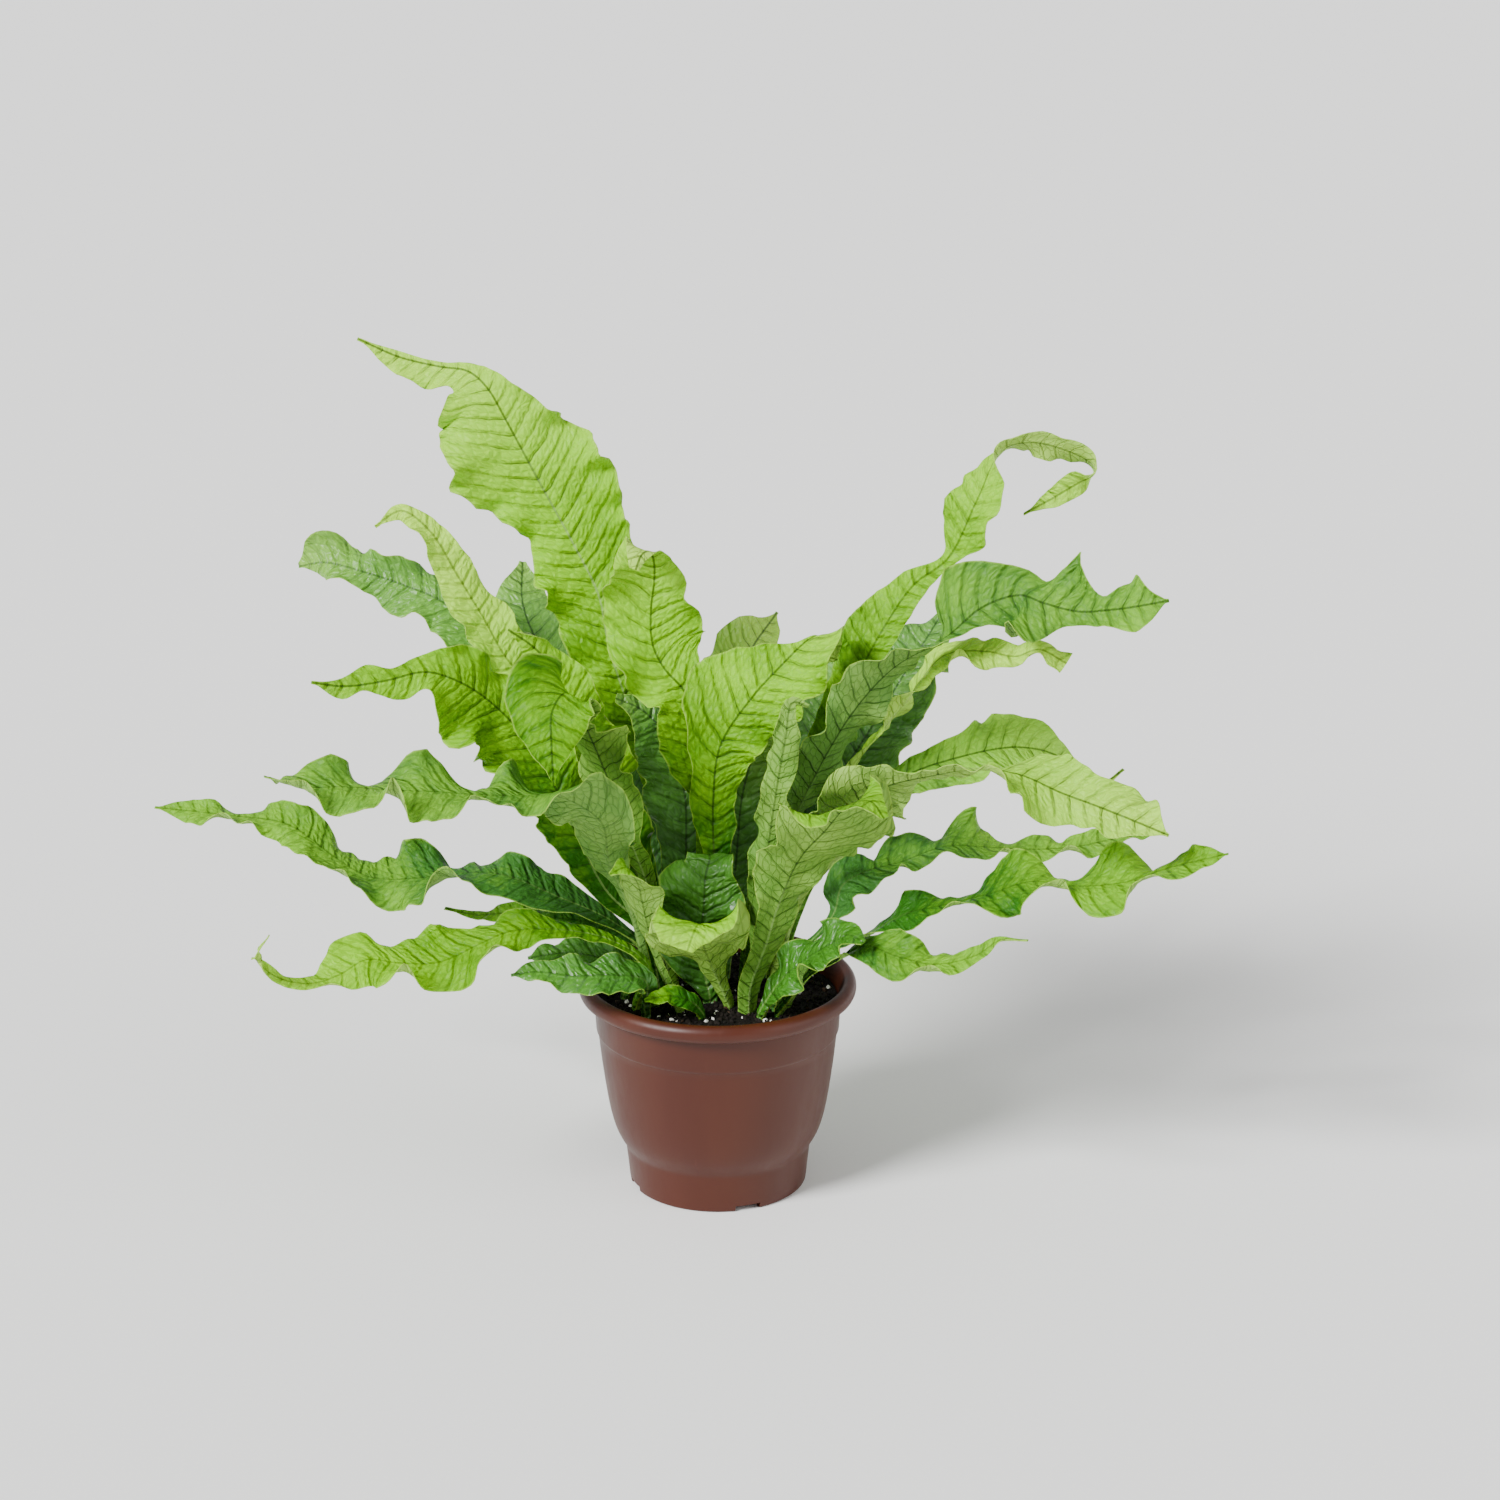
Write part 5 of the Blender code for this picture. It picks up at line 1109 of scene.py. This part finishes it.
def crumb_tree(look):
    """A node tree that strews crumbs over a surface: each a lumpy, turned, sized stone."""
    tree = bpy.data.node_groups.new("strew_" + look.name, "GeometryNodeTree")
    face = tree.interface
    face.new_socket("Surface", in_out="INPUT", socket_type="NodeSocketGeometry")
    for name in ("Density", "Smallest", "Largest", "Flatness"):
        face.new_socket(name, in_out="INPUT", socket_type="NodeSocketFloat")
    for name in ("Seed", "Roundness"):
        face.new_socket(name, in_out="INPUT", socket_type="NodeSocketInt")
    face.new_socket("Crumbs", in_out="OUTPUT", socket_type="NodeSocketGeometry")
    given = add(tree, "NodeGroupInput").outputs
    seed = given["Seed"]
    points = add(tree, "GeometryNodeDistributePointsOnFaces",
                 {"Mesh": given["Surface"], "Density": given["Density"], "Seed": seed})
    stone = add(tree, "GeometryNodeMeshIcoSphere", {"Radius": 1.0, "Subdivisions": given["Roundness"]})
    spot = add(tree, "GeometryNodeInputPosition")
    lumpy = add(tree, "ShaderNodeTexNoise", {"Vector": spot, "Scale": 1.3, "Detail": 1.0})
    push = add(tree, "ShaderNodeVectorMath", (lumpy.outputs["Color"], (0.5, 0.5, 0.5)),
               operation="SUBTRACT")
    shaped = add(tree, "GeometryNodeSetPosition", {"Geometry": stone, "Offset": push})
    turn = add(tree, "FunctionNodeRandomValue", {0: (0, 0, 0), 1: (6.28, 6.28, 6.28), "Seed": seed},
               data_type="FLOAT_VECTOR")
    size = add(tree, "FunctionNodeRandomValue",
               {2: given["Smallest"], 3: given["Largest"], "Seed": seed}, data_type="FLOAT")
    flat = add(tree, "ShaderNodeCombineXYZ", (1.0, 0.8, given["Flatness"]))
    scale = add(tree, "ShaderNodeVectorMath", {0: flat, "Scale": size}, operation="SCALE")
    copies = add(tree, "GeometryNodeInstanceOnPoints",
                 {"Points": points, "Instance": shaped, "Rotation": turn, "Scale": scale})
    shade = add(tree, "FunctionNodeRandomValue", {2: 0.0, 3: 1.0, "Seed": seed}, data_type="FLOAT")
    named = add(tree, "GeometryNodeStoreNamedAttribute",
                {"Geometry": copies, "Name": "shade", "Value": shade},
                data_type="FLOAT", domain="INSTANCE")
    real = add(tree, "GeometryNodeRealizeInstances", [named])
    finish = add(tree, "GeometryNodeSetMaterial", {"Geometry": real, "Material": look})
    add(tree, "NodeGroupOutput", [finish])
    return tree


def strew(name, surface, look, density, sizes, flatness, seed, roundness=1):
    """Crumbs of one kind over a surface, as a plain mesh that rides with the pot.

    Their density is a square metre's, and their smallest and largest size is in millimetres.
    """
    host = place(name, surface.copy())
    nodes = host.modifiers.new("strew", "NODES")
    nodes.node_group = crumb_tree(look)
    values = {"Density": density, "Smallest": sizes[0] * MM, "Largest": sizes[1] * MM,
              "Flatness": flatness, "Seed": seed, "Roundness": roundness}
    for item in nodes.node_group.interface.items_tree:
        if item.name in values:
            nodes[item.identifier] = values[item.name]
    make_plain(host)
    host.data.shade_flat()
    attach(host, "root")


def soil_surface(radius, centre=(0, 0), step=3.0):
    """A disc on the compost's top round a place, its faces about a step wide in millimetres."""
    shape = bmesh.new()
    count = int(2 * radius / step)
    bmesh.ops.create_grid(shape, x_segments=count, y_segments=count, size=radius * MM)
    far = [v for v in shape.verts if v.co.length > radius * MM]
    bmesh.ops.delete(shape, geom=far, context="VERTS")
    for point in shape.verts:
        point.co += Vector((*centre, 0)) * MM
        point.co.z = float(soil_height(point.co.x / MM, point.co.y / MM)) * MM
    return mesh_of("soil_surface", shape)


def make_crumbs(settings):
    """Peat crumbs, bits of bark and white perlite over the compost."""
    surface = soil_surface(SOIL_RADIUS - 1.2)
    peat = crumb_material("peat_crumbs", "#050403", "#1D150F", 0.85, 0.5)
    bark = crumb_material("bark_bits", "#180E08", "#44301E", 0.7, 0.4)
    perlite = crumb_material("expanded_perlite", "#CFCBC2", "#F4F2EC", 0.8, 0.3)
    strew("compost_crumbs", surface, peat, settings.crumbs, sizes=(0.6, 2.1), flatness=0.7, seed=3)
    strew("compost_bark", surface, bark, settings.crumbs * settings.bark,
          sizes=(0.7, 1.9), flatness=0.35, seed=5)
    strew("compost_perlite", surface, perlite, settings.crumbs * settings.perlite,
          sizes=(0.6, 1.6), flatness=0.8, seed=11, roundness=2)
    for number, (centre, radius) in enumerate(PERLITE_SPOTS):
        spot = soil_surface(radius, centre, step=1.0)
        strew(f"compost_perlite_{number}", spot, perlite, settings.crumbs,
              sizes=(0.5, 1.5), flatness=0.6, seed=SPOT_SEED + number, roundness=2)
        bpy.data.meshes.remove(spot)
    bpy.data.meshes.remove(surface)


def make_stage(settings):
    """A pale floor, far soft lights on both sides in a white surround, and the camera."""
    floor = bmesh.new()
    bmesh.ops.create_circle(floor, cap_ends=True, segments=96, radius=settings.floor_radius)
    ground = place("studio_floor", mesh_of("studio_floor", floor))
    ground.data.materials.append(paper_material())
    for name, (spot, share, width) in LIGHTS.items():
        light = bpy.data.lights.new(name, "SUN")
        light.angle = math.radians(width)
        light.energy = settings.key * share
        made = place(name, light)
        made.location = spot
        made.rotation_euler = (Vector(LIT_POINT) - Vector(spot)).to_track_quat("-Z", "Y").to_euler()
    world = bpy.data.worlds.new("studio")
    world.use_nodes = True
    sky = world.node_tree.nodes["Background"]
    feed(world.node_tree, sky, {"Color": (1, 1, 1, 1), "Strength": settings.fill})
    bpy.context.scene.world = world
    lens = bpy.data.cameras.new("camera")
    lens.sensor_fit = "HORIZONTAL"
    lens.angle = 2 * math.atan(IMAGE_SIDE / 2 / FOCAL_PIXELS)
    lens.clip_end = 2 * settings.floor_radius
    camera = place("camera", lens)
    away = Vector((0, -math.cos(CAMERA_RISE), math.sin(CAMERA_RISE))) * CAMERA_DISTANCE
    camera.location = (Vector(CAMERA_AIM) + away) * MM
    camera.rotation_euler = (-away).to_track_quat("-Z", "Y").to_euler()
    bpy.context.scene.camera = camera


# Settings, operators and the panel


def colour(name, description, code):
    """A setting for a colour, from its sRGB hex value."""
    return bpy.props.FloatVectorProperty(
        name=name, description=description, subtype="COLOR", size=3, min=0, max=1,
        default=linear(code)[:3])


class FernLeafSettings(bpy.types.PropertyGroup):
    """Sizes and colours of the fronds."""

    pace: bpy.props.FloatProperty(
        name="Row spacing", description="Distance between a blade's rows, in millimetres",
        default=2.2, min=1.0)
    steps: bpy.props.IntProperty(
        name="Columns a side", description="Faces from the midrib to a margin", default=13, min=4)
    ruffle: bpy.props.FloatProperty(
        name="Ruffle", description="How far the margins' small frills turn, in degrees", default=32.0)
    fresh_pale: colour("Fresh green, pale", "Pale shade of the fresh fronds", "#84C400")
    fresh_mid: colour("Fresh green, mid", "Deeper shade of the fresh fronds", "#226000")
    deep_pale: colour("Deep green, pale", "Pale shade of the deep fronds", "#5EA02A")
    deep_mid: colour("Deep green, mid", "Deeper shade of the deep fronds", "#3A741A")
    cool_pale: colour("Cool green, pale", "Pale shade of the bluish fronds", "#6CA63A")
    cool_mid: colour("Cool green, mid", "Deeper shade of the bluish fronds", "#2C6412")
    under_pale: colour("Underside, pale", "Pale shade of the undersides", "#92BA4C")
    under_mid: colour("Underside, mid", "Deeper shade of the undersides", "#5C8C2A")


class FernPotSettings(bpy.types.PropertyGroup):
    """Finish of the pot."""

    around: bpy.props.IntProperty(
        name="Segments", description="Faces round the pot", default=144, min=24)
    colour: colour("Colour", "Plastic's colour", "#401608")


class FernCompostSettings(bpy.types.PropertyGroup):
    """How the compost's top is strewn."""

    crumbs: bpy.props.FloatProperty(
        name="Crumbs", description="Crumbs in a square metre", default=115000.0, min=0)
    bark: bpy.props.FloatProperty(
        name="Bark", description="Bits of bark for each crumb", default=0.09, min=0, max=1,
        subtype="FACTOR")
    perlite: bpy.props.FloatProperty(
        name="Perlite", description="Grains of white perlite for each crumb", default=0.03, min=0, max=1,
        subtype="FACTOR")


class FernStageSettings(bpy.types.PropertyGroup):
    """The studio's light and floor."""

    key: bpy.props.FloatProperty(
        name="Key light", description="Strength of the main light", default=5.8, min=0)
    fill: bpy.props.FloatProperty(
        name="Fill light", description="Strength of the white surround", default=0.55, min=0)
    floor_radius: bpy.props.FloatProperty(
        name="Floor radius", description="Radius of the floor", default=30.0, min=1, unit="LENGTH")


class FERN_OT_pot(bpy.types.Operator):
    """Make the moulded plastic pot"""

    bl_idname = "fern.pot"
    bl_label = "Make the Pot"

    def execute(self, context):
        make_pot(context.scene.fern_pot)
        return {"FINISHED"}


class FERN_OT_compost(bpy.types.Operator):
    """Make the compost's body"""

    bl_idname = "fern.compost"
    bl_label = "Make the Compost"

    def execute(self, context):
        make_compost()
        return {"FINISHED"}


class FERN_OT_crumbs(bpy.types.Operator):
    """Strew peat crumbs, bark and perlite over the compost"""

    bl_idname = "fern.crumbs"
    bl_label = "Strew the Crumbs"

    def execute(self, context):
        make_crumbs(context.scene.fern_compost)
        return {"FINISHED"}


class FERN_OT_fronds(bpy.types.Operator):
    """Make the ruffled, veined fronds"""

    bl_idname = "fern.fronds"
    bl_label = "Make the Fronds"

    def execute(self, context):
        make_fronds(context.scene.fern_leaf)
        return {"FINISHED"}


class FERN_OT_stage(bpy.types.Operator):
    """Set the floor, the lights and the camera"""

    bl_idname = "fern.stage"
    bl_label = "Set the Stage"

    def execute(self, context):
        make_stage(context.scene.fern_stage)
        return {"FINISHED"}


STEPS = (FERN_OT_pot, FERN_OT_compost, FERN_OT_crumbs, FERN_OT_fronds, FERN_OT_stage)
GROUPS = {"fern_leaf": FernLeafSettings, "fern_pot": FernPotSettings,
          "fern_compost": FernCompostSettings, "fern_stage": FernStageSettings}


class FERN_PT_panel(bpy.types.Panel):
    """Lists the fern's steps and their settings"""

    bl_idname = "FERN_PT_panel"
    bl_label = "Crocodile Fern"
    bl_space_type = "VIEW_3D"
    bl_region_type = "UI"
    bl_category = "Fern"

    def draw(self, context):
        for step in STEPS:
            self.layout.operator(step.bl_idname)
        for group in GROUPS:
            settings = getattr(context.scene, group)
            for name in settings.bl_rna.properties.keys():
                if name not in ("rna_type", "name"):
                    self.layout.prop(settings, name)


CLASSES = (*GROUPS.values(), *STEPS, FERN_PT_panel)


def register():
    """Registers the classes and hangs the settings on the scene."""
    for made in CLASSES:
        bpy.utils.register_class(made)
    for name, group in GROUPS.items():
        setattr(bpy.types.Scene, name, bpy.props.PointerProperty(type=group))


def unregister():
    """Takes the settings and the classes away again."""
    for name in GROUPS:
        delattr(bpy.types.Scene, name)
    for made in reversed(CLASSES):
        bpy.utils.unregister_class(made)


def main():
    """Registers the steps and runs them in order."""
    register()
    bpy.ops.fern.pot()
    bpy.ops.fern.compost()
    bpy.ops.fern.crumbs()
    bpy.ops.fern.fronds()
    bpy.ops.fern.stage()


if __name__ == "__main__":
    main()
